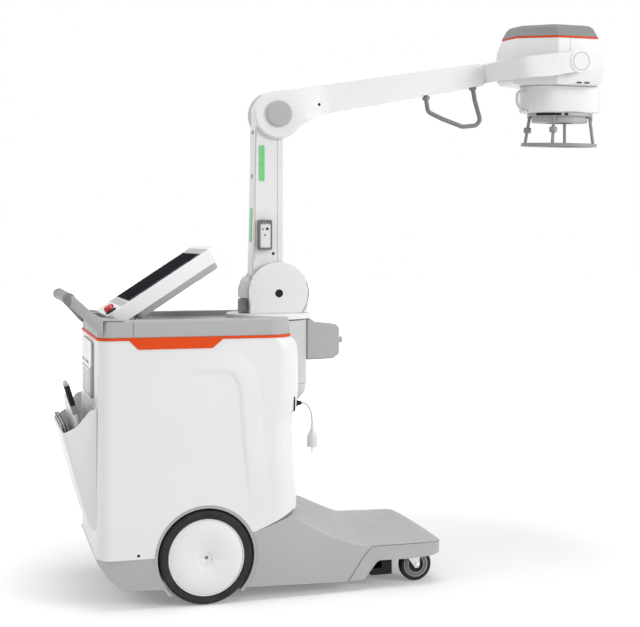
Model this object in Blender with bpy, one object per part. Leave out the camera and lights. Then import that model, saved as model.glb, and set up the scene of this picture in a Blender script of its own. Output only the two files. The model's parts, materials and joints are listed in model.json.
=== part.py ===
"""Mobile x-ray machine: a battery driven trolley with a swivelling two-part arm and a tube head.

Lengths are in metres and +Z is up. +X is the way the machine drives forward, and -Y is the side
that carries the remote control. While it is modelled, x = 0 is the rear axle, y = 0 the middle
plane and z = 0 the floor. The empty "machine" then shifts everything along X, so that the
origin lies under the middle of the whole machine.

Each moving body has an empty on its joint's axis, and its pieces are modelled from there.
"""
import math

import bmesh
import bpy
from mathutils import Matrix, Vector

# Gaps between pieces
SEAT = 0.0003
RUN = 0.0005
CLEAR = 0.005

# Rear wheels
WHEEL_R = 0.150
TYRE_WIDTH = 0.050
WHEEL_PROUD = 0.005
WHEEL_RIM_R = 0.124
HUB_BORE_R = 0.0185
HUB_DEPTH = 0.034
ARCH_R = 0.166
ARCH_BEHIND = 0.055

# Casters
CASTER_X = 0.722
CASTER_R = 0.056
CASTER_TRAIL = 0.016
CASTER_WIDTH = 0.030
CASTER_INSET = 0.072
CASTER_AXLE_R = 0.006
CASTER_PLATE = 0.005
FORK_PLATE = 0.003
FORK_HALF = 0.0215

# White body cover
BODY_REAR_X = -0.342
BODY_FRONT_X = 0.320
BODY_HALF_Y = 0.285
BODY_TOP_Z = 0.8445
BODY_LOW_Z = 0.158
REAR_CORNER_R = 0.045
FRONT_CORNER_R = 0.085

# Push handle
BAR_R = 0.018
BAR_X = -0.4232
BAR_Z = 0.9735

# Detector pocket on the body's rear
BIN_DEPTH = 0.1027

# Orange band and top deck
BAND_HEIGHT = 0.008
BAND_PROUD = 0.0025
DECK_FRONT_X = 0.2926
DECK_TOP_Z = 0.9065
TRAY_FLOOR_Z = 0.887
TRAY_RIM_Y = 0.070
TRAY_REAR_X = -0.312

# Platform and bumper
PLATFORM_FRONT_X = 0.812
PLATFORM_INSET = 0.023
BUMPER_TOP_Z = 0.142
BUMPER_WALL = 0.005
BUMPER_FRONT_WALL = 0.016
WELL_REAR_X = 0.602

# Column in front of the body, and the swivel
SWIVEL_X = 0.272
COLUMN_R = 0.130
COLUMN_SEAM_Z = 0.671
COLLAR_R = 0.147
COLLAR_TOP_Z = 0.910
BEARING_R = 0.100

# Shoulder and lower arm
SHOULDER_X = 0.293
SHOULDER_Z = 0.978
YOKE_R = 0.1065
YOKE_OUTER_Y = 0.065
KNUCKLE_R = 0.057
LOWER_LENGTH = 0.614
LOWER_HALF_Y = 0.038
PIVOT_BOSS_R = 0.030
LOWER_FRONT = 0.022
# How far the rear face lies behind the shoulder, at the foot and at the head
LOWER_REAR_FOOT = 0.0885
LOWER_REAR_HEAD = 0.0762
REMOTE_DEPTH = 0.030

# Elbow and upper arm
ELBOW_AHEAD = 0.001
ELBOW_R = 0.085
ELBOW_KNUCKLE_R = 0.0795
ELBOW_HALF_Y = 0.0585
ELBOW_CAP_R = 0.045
UPPER_RISE_DEG = 10.4
UPPER_LENGTH = 0.768
UPPER_HALF_Y = 0.044
HANDLE_TUBE_R = 0.008
# Ends of the beam's straight lower edge: distance from the elbow, height
BEAM_UNDERSIDE = ((0.180, -0.0207), (UPPER_LENGTH - 0.012, -0.0134))

# Head fork, from the arm's end to the tilt pivot
ROLL_RISE = 0.026
HEAD_ROLL_DEG = 3.4
FORK_REACH = 0.313
PIVOT_DROP = 0.008
ROLL_RING_R = 0.040
ROLL_RING_LENGTH = 0.020
FORK_OUTER_Y = 0.212
PIVOT_DISC_R = 0.044

# Tube head, from the tilt pivot
HEAD_HALF_Y = 0.165
HEAD_LOW = -0.079
HEAD_TRIM = 0.093
HEAD_TOP = 0.136
# From the arm's end to the head's rear
HEAD_BEHIND_ROLL = 0.110

# Collimator, from the beam axis at the head's lower face
BEAM_AHEAD = 0.031
COLLIMATOR_LOW = -0.098
FLANGE_R = 0.118
SPACER_R = 0.139
SPACER_LOW = -0.220
SPACER_TURN_DEG = 7.5

# Monitor, from its hinge
MONITOR_X = -0.2131
MONITOR_Z = 0.9032
MONITOR_RISE_DEG = 33.1
MONITOR_LOW = -0.0684
MONITOR_HIGH = 0.343
MONITOR_FACE = 0.0597
MONITOR_HALF_Y = 0.187
HINGE_R = 0.0125

# Worked out from the sizes above
WHEEL_OUTER_Y = BODY_HALF_Y + WHEEL_PROUD
ARCH_INNER_Y = WHEEL_OUTER_Y - TYRE_WIDTH - ARCH_BEHIND
PLATFORM_HALF_Y = BODY_HALF_Y - PLATFORM_INSET
CASTER_Y = PLATFORM_HALF_Y - CASTER_INSET
TRAY_HALF_Y = BODY_HALF_Y - TRAY_RIM_Y
YOKE_INNER_Y = LOWER_HALF_Y + CLEAR
ELBOW_X = SHOULDER_X + ELBOW_AHEAD
ELBOW_Z = SHOULDER_Z + LOWER_LENGTH
FORK_INNER_Y = HEAD_HALF_Y + 0.007
HEAD_REAR = HEAD_BEHIND_ROLL - FORK_REACH

ARC_STEPS = 5


def clear_scene():
    for old in list(bpy.data.objects):
        bpy.data.objects.remove(old, do_unlink=True)


def finish(name, colour, roughness, metallic=0.0):
    material = bpy.data.materials.new(name)
    material.use_nodes = True
    shader = material.node_tree.nodes["Principled BSDF"]
    shader.inputs["Base Color"].default_value = (*colour, 1.0)
    shader.inputs["Roughness"].default_value = roughness
    shader.inputs["Metallic"].default_value = metallic
    return material


def rounded(corners, steps=ARC_STEPS):
    """Outline through corners of (a, b, radius), each turned by an arc of that radius."""
    outline = []
    count = len(corners)
    for index, (a, b, radius) in enumerate(corners):
        here = Vector((a, b))
        if radius == 0:
            outline.append((a, b))
            continue
        before = (Vector(corners[index - 1][:2]) - here).normalized()
        after = (Vector(corners[(index + 1) % count][:2]) - here).normalized()
        half = before.angle(after) / 2
        centre = here + (before + after).normalized() * (radius / math.sin(half))
        start = here + before * (radius / math.tan(half)) - centre
        end = here + after * (radius / math.tan(half)) - centre
        first = math.atan2(start.y, start.x)
        sweep = math.atan2(end.y, end.x) - first
        sweep = (sweep + math.pi) % (2 * math.pi) - math.pi
        for step in range(steps + 1):
            angle = first + sweep * step / steps
            outline.append((centre.x + radius * math.cos(angle), centre.y + radius * math.sin(angle)))
    return outline


def arc(centre_a, centre_b, radius, first_deg, last_deg, steps):
    """Points along an arc, both ends included."""
    points = []
    for step in range(steps + 1):
        angle = math.radians(first_deg + (last_deg - first_deg) * step / steps)
        points.append((centre_a + radius * math.cos(angle), centre_b + radius * math.sin(angle)))
    return points


def box_outline(low_a, low_b, high_a, high_b, radius, steps=ARC_STEPS):
    corners = [(low_a, low_b), (high_a, low_b), (high_a, high_b), (low_a, high_b)]
    return rounded([(a, b, radius) for a, b in corners], steps)


def spot(a, b, height, along):
    """A point at (a, b) of an outline and at a height along the named axis."""
    if along == "X":
        return (height, a, b)
    if along == "Y":
        return (a, height, b)
    return (a, b, height)


def loft(rings):
    """A closed body through rings of equally many points, with flat ends."""
    bm = bmesh.new()
    rows = [[bm.verts.new(point) for point in ring] for ring in rings]
    count = len(rows[0])
    for lower, upper in zip(rows, rows[1:]):
        for index in range(count):
            after = (index + 1) % count
            bm.faces.new((lower[index], lower[after], upper[after], upper[index]))
    bm.faces.new(rows[0])
    bm.faces.new(rows[-1])
    bmesh.ops.recalc_face_normals(bm, faces=bm.faces[:])
    return bm


def prism(outline, low, high, along="Y"):
    return loft([[spot(a, b, height, along) for a, b in outline] for height in (low, high)])


def turned(profile, along="Z", centre=(0.0, 0.0, 0.0), segments=40):
    """A turned body. The profile is (radius, height) from one end of its axis to the other."""
    bm = bmesh.new()
    rows = []
    for radius, height in profile:
        if radius == 0:
            rows.append([bm.verts.new(spot(0, 0, height, along))])
            continue
        ring = arc(0, 0, radius, 0, 360, segments)[:-1]
        rows.append([bm.verts.new(spot(a, b, height, along)) for a, b in ring])
    for lower, upper in zip(rows, rows[1:]):
        for index in range(segments):
            after = (index + 1) % segments
            if len(lower) == 1:
                bm.faces.new((lower[0], upper[after], upper[index]))
            elif len(upper) == 1:
                bm.faces.new((lower[index], lower[after], upper[0]))
            else:
                bm.faces.new((lower[index], lower[after], upper[after], upper[index]))
    for row in (rows[0], rows[-1]):
        if len(row) > 1:
            bm.faces.new(row)
    bmesh.ops.recalc_face_normals(bm, faces=bm.faces[:])
    bmesh.ops.translate(bm, verts=bm.verts[:], vec=centre)
    return bm


def ring_profile(inner, outer, low, high):
    """Closed profile of a turned ring, for ring_body."""
    return [(inner, low), (outer, low), (outer, high), (inner, high)]


def ring_body(profile, along="Z", centre=(0.0, 0.0, 0.0), segments=40):
    """A turned ring whose closed profile of (radius, height) stays off the axis."""
    bm = bmesh.new()
    rows = []
    for step in range(segments):
        angle = 2 * math.pi * step / segments
        row = []
        for radius, height in profile:
            point = spot(radius * math.cos(angle), radius * math.sin(angle), height, along)
            row.append(bm.verts.new(point))
        rows.append(row)
    count = len(profile)
    for index, row in enumerate(rows):
        following = rows[(index + 1) % segments]
        for corner in range(count):
            after = (corner + 1) % count
            bm.faces.new((row[corner], row[after], following[after], following[corner]))
    bmesh.ops.recalc_face_normals(bm, faces=bm.faces[:])
    bmesh.ops.translate(bm, verts=bm.verts[:], vec=centre)
    return bm


def mirror_y(bm):
    """The same body on the other side of the middle plane."""
    bmesh.ops.scale(bm, verts=bm.verts[:], vec=(1, -1, 1))
    bmesh.ops.reverse_faces(bm, faces=bm.faces[:])
    return bm


def arm_point(along, above):
    """A place of the machine given along and above the upper arm, from the elbow."""
    rise = math.radians(UPPER_RISE_DEG)
    return Vector((ELBOW_X + along * math.cos(rise) - above * math.sin(rise), 0,
                   ELBOW_Z + along * math.sin(rise) + above * math.cos(rise)))


class Machine:
    """Holds the empties of the moving bodies and makes their pieces."""

    def __init__(self):
        self.empties = {}
        self.frames = {}
        rear_end = BODY_REAR_X - SEAT - BIN_DEPTH
        beam_x = arm_point(UPPER_LENGTH + FORK_REACH, ROLL_RISE - PIVOT_DROP).x + BEAM_AHEAD
        front_end = beam_x + SPACER_R
        shift = -(rear_end + front_end) / 2
        self.add_frame("machine", None, Matrix.Translation((shift, 0, 0)), shift)

    def add_frame(self, name, parent, frame, shift=0.0):
        empty = bpy.data.objects.new(name + "_frame", None)
        bpy.context.collection.objects.link(empty)
        self.empties[name] = empty
        if parent is None:
            empty.location = (shift, 0, 0)
            self.frames[name] = Matrix.Identity(4)
            return
        empty.parent = self.empties[parent]
        empty.matrix_basis = self.frames[parent].inverted() @ frame
        self.frames[name] = frame

    def add_body(self, name, parent, place, rise_deg=0.0):
        """A body's frame at a place of the machine, its X axis raised from the level."""
        frame = Matrix.Translation(place) @ Matrix.Rotation(-math.radians(rise_deg), 4, "Y")
        self.add_frame(name, parent, frame)

    def solid(self, name, body, bm, material):
        mesh = bpy.data.meshes.new(name)
        bm.to_mesh(mesh)
        bm.free()
        piece = bpy.data.objects.new(name, mesh)
        bpy.context.collection.objects.link(piece)
        piece.parent = self.empties[body]
        mesh.shade_smooth()
        mesh.set_sharp_from_angle(angle=math.radians(32))
        if material is not None:
            mesh.materials.append(material)
        return piece

    def combine(self, piece, bm, operation):
        """Adds, cuts or keeps a shape by a Boolean with a hidden tool object."""
        tool = self.solid(piece.name + "_tool", "machine", bm, None)
        tool.parent = piece.parent
        tool.hide_render = True
        tool.display_type = "WIRE"
        modifier = piece.modifiers.new(operation.lower(), "BOOLEAN")
        modifier.operation = operation
        modifier.solver = "EXACT"
        modifier.object = tool

    def cut(self, piece, bm):
        self.combine(piece, bm, "DIFFERENCE")

    def add(self, piece, bm):
        self.combine(piece, bm, "UNION")

    def tube(self, name, body, points, radius, material, resolution=3):
        """A round bar or cord along the given points."""
        curve = bpy.data.curves.new(name, "CURVE")
        curve.dimensions = "3D"
        curve.bevel_depth = radius
        curve.bevel_resolution = resolution
        curve.use_fill_caps = True
        spline = curve.splines.new("POLY")
        spline.points.add(len(points) - 1)
        for target, point in zip(spline.points, points):
            target.co = (*point, 1.0)
        curve.materials.append(material)
        piece = bpy.data.objects.new(name, curve)
        bpy.context.collection.objects.link(piece)
        piece.parent = self.empties[body]
        return piece


def soften(piece, width, segments=1, angle_deg=35):
    modifier = piece.modifiers.new("soften", "BEVEL")
    modifier.width = width
    modifier.segments = segments
    modifier.limit_method = "ANGLE"
    modifier.angle_limit = math.radians(angle_deg)
    modifier.harden_normals = False


def smooth_path(points, spacing):
    """Points at even spacing on a smooth curve through the given ones."""
    padded = [points[0] + (points[0] - points[1])] + points + [points[-1] + (points[-1] - points[-2])]
    dense = []
    for index in range(1, len(padded) - 2):
        p0, p1, p2, p3 = padded[index - 1:index + 3]
        for step in range(24):
            t = step / 24
            dense.append(0.5 * ((2 * p1) + (p2 - p0) * t + (2 * p0 - 5 * p1 + 4 * p2 - p3) * t * t
                                + (3 * p1 - p0 - 3 * p2 + p3) * t ** 3))
    dense.append(points[-1])
    lengths = [0.0]
    for before, after in zip(dense, dense[1:]):
        lengths.append(lengths[-1] + (after - before).length)
    count = max(2, round(lengths[-1] / spacing))
    path = []
    for step in range(count + 1):
        target = lengths[-1] * step / count
        index = max(i for i, length in enumerate(lengths) if length <= target + 1e-9)
        if index >= len(dense) - 1:
            path.append(dense[-1])
            continue
        share = (target - lengths[index]) / (lengths[index + 1] - lengths[index])
        path.append(dense[index].lerp(dense[index + 1], share))
    return path


# The body's lower edge, from the rear to the front: x, z
BODY_UNDERSIDE = ((BODY_REAR_X, BODY_LOW_Z), (-0.020, BODY_LOW_Z), (0.141, 0.221), (0.163, 0.223),
                  (0.239, 0.256), (0.290, 0.281))

# The body's front line: z, how far it lies behind the foremost point
BODY_FRONT_LINE = ((0.140, 0.006), (0.336, 0.006), (0.402, 0.012), (0.468, 0.0175), (0.580, 0.0175),
                   (0.594, 0.0144), (0.604, 0.006), (0.645, 0.003), (0.665, 0.0), (0.800, 0.0),
                   (0.820, 0.004), (0.834, 0.011), (BODY_TOP_Z, BODY_FRONT_X - DECK_FRONT_X))

# The platform's rounded nose in plan: how far behind its front, how much narrower
NOSE = ((0.112, 0.0), (0.032, 0.003), (0.012, 0.009), (0.004, 0.020), (0.0, 0.060))

# The seam between the platform and the bumper: x, z
BUMPER_SEAM = ((0.4765, 0.034), (0.530, 0.110), (0.562, BUMPER_TOP_Z))


def body_front(z):
    """x of the body's front face at a height."""
    for (low_z, low_back), (high_z, high_back) in zip(BODY_FRONT_LINE, BODY_FRONT_LINE[1:]):
        if z <= high_z:
            return BODY_FRONT_X - low_back - (high_back - low_back) * (z - low_z) / (high_z - low_z)
    return DECK_FRONT_X


def body_plan(front_x, inset=0.0, steps=ARC_STEPS):
    """Plan outline of the body, its front corners rounder than its rear ones."""
    rear = BODY_REAR_X + inset
    front = front_x - inset
    half = BODY_HALF_Y - inset
    return rounded([(rear, -half, REAR_CORNER_R - inset), (front, -half, FRONT_CORNER_R - inset),
                    (front, half, FRONT_CORNER_R - inset), (rear, half, REAR_CORNER_R - inset)], steps)


def nose_plan(inset=0.0):
    """One side of the platform's nose in plan, from the straight side to the front."""
    return [(PLATFORM_FRONT_X - back - inset, narrow + 1.6 * inset - PLATFORM_HALF_Y) for back, narrow in NOSE]


def make_materials():
    table = {
        "white": ((0.80, 0.80, 0.79), 0.42, 0.0),
        "grey": ((0.43, 0.44, 0.45), 0.50, 0.0),
        "dark_grey": ((0.22, 0.22, 0.23), 0.50, 0.0),
        "orange": ((0.80, 0.13, 0.02), 0.38, 0.0),
        "tyre": ((0.035, 0.035, 0.037), 0.80, 0.0),
        "black": ((0.03, 0.03, 0.032), 0.45, 0.0),
        "steel": ((0.60, 0.61, 0.62), 0.30, 1.0),
        "screen": ((0.01, 0.012, 0.02), 0.08, 0.0),
        "light": ((0.20, 0.60, 0.22), 0.40, 0.0),
        "red": ((0.60, 0.02, 0.02), 0.35, 0.0),
        "cord": ((0.62, 0.62, 0.60), 0.55, 0.0),
    }
    return {name: finish(name, *values) for name, values in table.items()}


def make_frames(machine):
    for side, sign in (("right", -1), ("left", 1)):
        wheel_y = sign * (WHEEL_OUTER_Y - TYRE_WIDTH / 2)
        machine.add_body(side + "_wheel", "machine", (0, wheel_y, WHEEL_R))
        machine.add_body(side + "_caster", "machine", (CASTER_X, sign * CASTER_Y, CASTER_R))
        machine.add_body(side + "_caster_wheel", side + "_caster",
                         (CASTER_X + CASTER_TRAIL, sign * CASTER_Y, CASTER_R))
    machine.add_body("monitor", "machine", (MONITOR_X, 0, MONITOR_Z), MONITOR_RISE_DEG)
    machine.add_body("arm_base", "machine", (SWIVEL_X, 0, COLLAR_TOP_Z))
    machine.add_body("lower_arm", "arm_base", (SHOULDER_X, 0, SHOULDER_Z))
    machine.add_body("upper_arm", "lower_arm", (ELBOW_X, 0, ELBOW_Z), UPPER_RISE_DEG)
    # The fork is rolled a little about the arm, with all that it carries
    rise = Matrix.Rotation(-math.radians(UPPER_RISE_DEG), 4, "Y")
    roll = Matrix.Rotation(math.radians(HEAD_ROLL_DEG), 4, "X")
    fork = Matrix.Translation(arm_point(UPPER_LENGTH, ROLL_RISE)) @ rise @ roll
    machine.add_frame("fork", "upper_arm", fork)
    head = fork @ Matrix.Translation((FORK_REACH, 0, -PIVOT_DROP)) @ rise.inverted()
    machine.add_frame("head", "fork", head)
    machine.add_frame("collimator", "head", head @ Matrix.Translation((BEAM_AHEAD, 0, HEAD_LOW)))


def wheel_arch(sign):
    """The round space that is cut for a rear wheel."""
    arch = turned([(0, ARCH_INNER_Y), (ARCH_R, ARCH_INNER_Y), (ARCH_R, 0.4), (0, 0.4)],
                  "Y", (0, 0, WHEEL_R), 56)
    return arch if sign > 0 else mirror_y(arch)


def make_platform(machine, paint):
    """The moulded grey cover that runs under the body and out to the front."""
    low = BODY_LOW_Z - SEAT
    under_rim = BUMPER_TOP_Z + SEAT
    seam_low, seam_bend, seam_top = [(x - 2 * SEAT, z) for x, z in BUMPER_SEAM]
    # x, narrower than the body, underside z, edge z, crown z, fullness of the crown, size of the shoulder
    sections = [
        (BODY_REAR_X, 0.013, low - 0.006, low, low, 8, SEAT),
        (-0.310, 0.006, 0.104, low, low, 8, SEAT),
        (-0.266, 0.002, 0.062, low, low, 8, SEAT),
        (-0.020, 0.0, 0.054, low, low, 8, SEAT),
        (0.141, 0.0, 0.046, 0.221 - SEAT, 0.221 - SEAT, 8, SEAT),
        (0.163, 0.0, 0.045, 0.223 - SEAT, 0.223 - SEAT, 8, SEAT),
        (0.239, 0.002, 0.043, 0.250, 0.256 - SEAT, 8, 0.001),
        (0.290, 0.004, 0.041, 0.260, 0.281 - SEAT, 8, 0.004),
        (0.340, 0.007, 0.039, 0.236, 0.273, 3, 0.012),
        (0.412, 0.012, 0.036, 0.199, 0.251, 2.4, 0.016),
        (seam_low[0], 0.0155, seam_low[1], 0.173, 0.221, 2.2, 0.016),
        (seam_bend[0], 0.019, seam_bend[1], 0.155, 0.197, 2.2, 0.012),
        (seam_top[0], PLATFORM_INSET, under_rim, 0.148, 0.185, 2.2, 0.004),
    ]
    for (x, edge_y), edge, crown in zip(nose_plan(), (0.147, 0.1465, 0.146, 0.1455, 0.145),
                                        (0.168, 0.157, 0.153, 0.150, 0.148)):
        sections.append((x, BODY_HALF_Y + edge_y, under_rim, edge, crown, 2.2, 0.0025))
    across = 12
    rings = []
    for x, narrower, under, edge, crown, fullness, shoulder in sections:
        half = BODY_HALF_Y - narrower
        inner = half - shoulder
        top = [(inner * (-1 + 2 * step / across)) for step in range(across + 1)]
        top = [(y, edge + (crown - edge) * (1 - abs(y / half) ** fullness)) for y in top]
        # The shoulder's curve, from the side wall up to the crown
        curve = []
        for share in (0.0, 0.3, 0.65):
            side, bend, flat = (1 - share) ** 2, 2 * share * (1 - share), share ** 2
            curve.append((half * (side + bend) + inner * flat,
                          (edge - shoulder) * side + edge * bend + top[-1][1] * flat))
        ring = [(x, half, under), (x, -half, under)]
        ring += [(x, -y, z) for y, z in curve]
        ring += [(x, y, z) for y, z in top]
        ring += [(x, y, z) for y, z in reversed(curve)]
        rings.append(ring)
    piece = machine.solid("platform_cover", "machine", loft(rings), paint["grey"])
    for sign in (-1, 1):
        machine.cut(piece, wheel_arch(sign))


def make_bumper(machine, paint):
    """The lower front rim, open above the casters."""
    front = PLATFORM_FRONT_X
    outline = list(BUMPER_SEAM) + [(front, BUMPER_TOP_Z), (front, 0.106), (front - 0.042, 0.0965),
                                   (front - 0.112, 0.0925), (0.590, 0.094), (0.578, 0.088),
                                   (0.5385, 0.040), (0.528, 0.034)]
    piece = machine.solid("front_bumper", "machine", prism(outline, -0.4, 0.4), paint["dark_grey"])
    half = PLATFORM_HALF_Y
    plan = [(0.46, -half - 0.009), (0.53, -half - 0.004), (BUMPER_SEAM[-1][0], -half)] + nose_plan()
    plan = plan + [(x, -y) for x, y in reversed(plan)]
    machine.combine(piece, prism(plan, 0.0, 0.2, "Z"), "INTERSECT")
    well = [(WELL_REAR_X, BUMPER_WALL - half)] + nose_plan(BUMPER_WALL)
    well[-1] = (front - BUMPER_FRONT_WALL, well[-1][1])
    well = well + [(x, -y) for x, y in reversed(well)]
    machine.cut(piece, prism(well, 0.02, 0.2, "Z"))


def make_caster_frame(machine, paint):
    """The dark cross member behind the casters, with a plate over each."""
    half = PLATFORM_HALF_Y - 0.022
    web_x = WELL_REAR_X + 0.001
    front_x = web_x + 0.036
    beam = [(web_x - 0.037, 0.040), (front_x, 0.040), (front_x, BUMPER_TOP_Z), (web_x, BUMPER_TOP_Z),
            (web_x, 0.062), (web_x - 0.037, 0.062)]
    piece = machine.solid("caster_frame", "machine", prism(beam, -half, half), paint["black"])
    for sign in (-1, 1):
        plate = box_outline(front_x - 0.004, sign * CASTER_Y - 0.042, CASTER_X + 0.042,
                            sign * CASTER_Y + 0.042, 0.003, 2)
        machine.add(piece, prism(plate, BUMPER_TOP_Z - CASTER_PLATE, BUMPER_TOP_Z, "Z"))


def make_body(machine, paint):
    """The white cover with its wheel arches."""
    rings = []
    for z, back in BODY_FRONT_LINE:
        rings.append([(x, y, z) for x, y in body_plan(BODY_FRONT_X - back)])
    piece = machine.solid("body_shell", "machine", loft(rings), paint["white"])
    front_z = BODY_UNDERSIDE[-1][1]
    below = [(BODY_REAR_X - 0.05, BODY_LOW_Z)] + list(BODY_UNDERSIDE[1:])
    below += [(BODY_FRONT_X + 0.05, front_z), (BODY_FRONT_X + 0.05, 0.05), (BODY_REAR_X - 0.05, 0.05)]
    machine.cut(piece, prism(below, -0.4, 0.4))
    for sign in (-1, 1):
        machine.cut(piece, wheel_arch(sign))


def make_deck(machine, paint):
    """The orange band on the body and the grey deck above it."""
    band_low = BODY_TOP_Z + SEAT
    band_high = band_low + BAND_HEIGHT
    rings = [[(x, y, z) for x, y in body_plan(DECK_FRONT_X, -BAND_PROUD)] for z in (band_low, band_high)]
    piece = machine.solid("trim_band", "machine", loft(rings), paint["orange"])
    panel = rounded([(-0.252, band_high - 0.001, 0), (-0.217, 0.816, 0.012), (0.020, 0.816, 0.012),
                     (0.061, band_high - 0.001, 0)])
    near, far = BODY_HALF_Y + SEAT, BODY_HALF_Y + BAND_PROUD
    machine.add(piece, prism(panel, near, far))
    machine.add(piece, prism(panel, -far, -near))
    deck_low = band_high + SEAT
    rings = []
    for z, inset in ((deck_low, 0.001), (DECK_TOP_Z - 0.006, 0.004), (DECK_TOP_Z - 0.002, 0.006),
                     (DECK_TOP_Z, 0.011)):
        rings.append([(x, y, z) for x, y in body_plan(DECK_FRONT_X, inset)])
    piece = machine.solid("top_deck", "machine", loft(rings), paint["grey"])
    tray = rounded([(TRAY_REAR_X, -TRAY_HALF_Y, 0.03), (0.40, -TRAY_HALF_Y, 0), (0.40, TRAY_HALF_Y, 0),
                    (TRAY_REAR_X, TRAY_HALF_Y, 0.03)])
    machine.cut(piece, prism(tray, TRAY_FLOOR_Z, 0.95, "Z"))


def make_column(machine, paint):
    """The round column that stands out of the body's front, under the swivel."""
    band_x = DECK_FRONT_X + BAND_PROUD

    def ring(z, radius):
        back = max(body_front(z), band_x) + SEAT
        half_deg = math.degrees(math.acos((back - SWIVEL_X) / radius))
        return [(x, y, z) for x, y in arc(SWIVEL_X, 0, radius, -half_deg, half_deg, 20)]

    heights = [COLUMN_SEAM_Z] + [z for z, _ in BODY_FRONT_LINE if z > COLUMN_SEAM_Z] + [TRAY_FLOOR_Z]
    machine.solid("column_housing", "machine", loft([ring(z, COLUMN_R) for z in heights]), paint["grey"])
    foot = ((0.609, 0.101), (0.6175, 0.108), (0.635, 0.1235), (0.645, 0.1270), (0.665, COLUMN_R - 0.0008),
            (COLUMN_SEAM_Z - SEAT, COLUMN_R - 0.0005))
    machine.solid("column_foot", "machine", loft([ring(z, radius) for z, radius in foot]), paint["grey"])
    front = SWIVEL_X + COLUMN_R
    bracket = rounded([(front + SEAT, 0.744, 0), (0.498, 0.7465, 0.012), (0.5207, 0.762, 0.012),
                       (0.5207, 0.855, 0.010), (0.508, 0.8665, 0.010), (front + 0.029, 0.8755, 0.004),
                       (front + 0.018, TRAY_FLOOR_Z, 0), (front + SEAT, TRAY_FLOOR_Z, 0)], 3)
    piece = machine.solid("parking_bracket", "machine", prism(bracket, -0.024, 0.024), paint["grey"])
    soften(piece, 0.004)
    machine.add(piece, turned([(0, 0.515), (0.0115, 0.515), (0.0115, 0.532), (0.009, 0.535), (0, 0.535)],
                              "X", (0, 0, 0.811), 20))


def make_push_handle(machine, paint):
    """Two arms that sweep up from the deck's rear corners, with the cross bar between them."""
    # x, how far the middle lies inside the body's side, z of the middle, half width, half height
    sections = ((-0.262, 0.0195, 0.882, 0.0170, 0.0265), (-0.330, 0.0250, 0.890, 0.0180, 0.0265),
                (-0.352, 0.0370, 0.904, 0.0180, 0.0245), (-0.385, 0.0580, 0.938, 0.0150, 0.0225),
                (-0.408, 0.0720, 0.961, 0.0130, 0.0215), (-0.424, 0.0800, 0.973, 0.0110, 0.0200),
                (-0.437, 0.0840, 0.974, 0.0080, 0.0120))
    edge = 0.006

    def arm(sign):
        rings = []
        for x, inside, z, half_y, half_z in sections:
            y = BODY_HALF_Y - inside
            outline = box_outline(y - half_y, z - half_z, y + half_y, z + half_z, edge, 2)
            rings.append([(x, sign * a, b) for a, b in outline])
        return loft(rings)

    piece = machine.solid("push_handle", "machine", arm(-1), paint["grey"])
    machine.add(piece, arm(1))
    bar_half = BODY_HALF_Y - 0.080
    bar = [(0, -bar_half), (BAR_R, -bar_half), (BAR_R, bar_half), (0, bar_half)]
    machine.add(piece, turned(bar, "Y", (BAR_X, 0, BAR_Z), 20))
    deck = prism(body_plan(DECK_FRONT_X, -BAND_PROUD - SEAT), 0.5, DECK_TOP_Z + SEAT, "Z")
    machine.cut(piece, deck)


def make_rear(machine, paint):
    """The recessed rear panel, the detector pocket and what it holds."""
    rear = BODY_REAR_X - SEAT
    panel_half = BODY_HALF_Y - 0.135
    panel = machine.solid("rear_panel", "machine",
                          prism(box_outline(-panel_half, 0.650, panel_half, 0.832, 0.020, 4), rear - 0.008,
                                rear, "X"), paint["grey"])
    soften(panel, 0.002)
    full = BODY_HALF_Y
    # z, depth behind the body, half width at the body, half width of the outer wall
    sections = ((0.245, 0.016, full - 0.060, full - 0.080), (0.330, 0.043, full - 0.047, full - 0.077),
                (0.545, BIN_DEPTH, full - 0.035, full - 0.073), (0.640, BIN_DEPTH, full - 0.033, full - 0.073))
    wall = 0.006

    def ring(z, depth, half, outer_half, inset):
        outer = rear - depth + inset
        inner = rear - inset
        return [(x, y, z) for x, y in rounded(
            [(inner, -half + inset, 0), (outer, -outer_half + inset, 0.018), (outer, outer_half - inset, 0.018),
             (inner, half - inset, 0)], 4)]

    outer_rings = [ring(*row, 0.0) for row in sections]
    pocket = machine.solid("detector_bin", "machine", loft(outer_rings), paint["white"])
    inner_rings = [ring(z + (wall if z < 0.3 else 0.0), depth, half, outer_half, wall * 0.8)
                   for z, depth, half, outer_half in sections[:-1]]
    inner_rings.append([(x, y, 0.70) for x, y, _ in inner_rings[-1]])
    machine.cut(pocket, loft(inner_rings))
    crop = [(rear + 0.01, 0.632), (rear - 0.020, 0.625), (rear - 0.060, 0.572), (rear - 0.110, 0.545),
            (rear - 0.20, 0.545), (rear - 0.20, 0.72), (rear + 0.01, 0.72)]
    machine.cut(pocket, prism(crop, -0.3, 0.3))


def make_detectors(machine, paint):
    """Two flat detector plates that stand in the pocket."""
    # name, distance behind the body and z of the lower edge, lean, thickness, height, half width, colour
    plates = (("detector_plate", 0.0195, 0.275, 8.0, 0.013, 0.360, 0.185, "white"),
              ("spare_plate", 0.0420, 0.345, 14.5, 0.010, 0.235, 0.165, "grey"))
    for name, behind, z, lean_deg, thick, height, half, colour in plates:
        bm = prism(box_outline(-half, 0.0, half, height, 0.018, 4), 0.0, thick, "X")
        place = Matrix.Translation((BODY_REAR_X - behind, 0, z))
        lean = Matrix.Rotation(math.radians(-lean_deg), 4, "Y")
        bmesh.ops.transform(bm, matrix=place @ lean, verts=bm.verts[:])
        piece = machine.solid(name, "machine", bm, paint[colour])
        soften(piece, 0.003)


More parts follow.
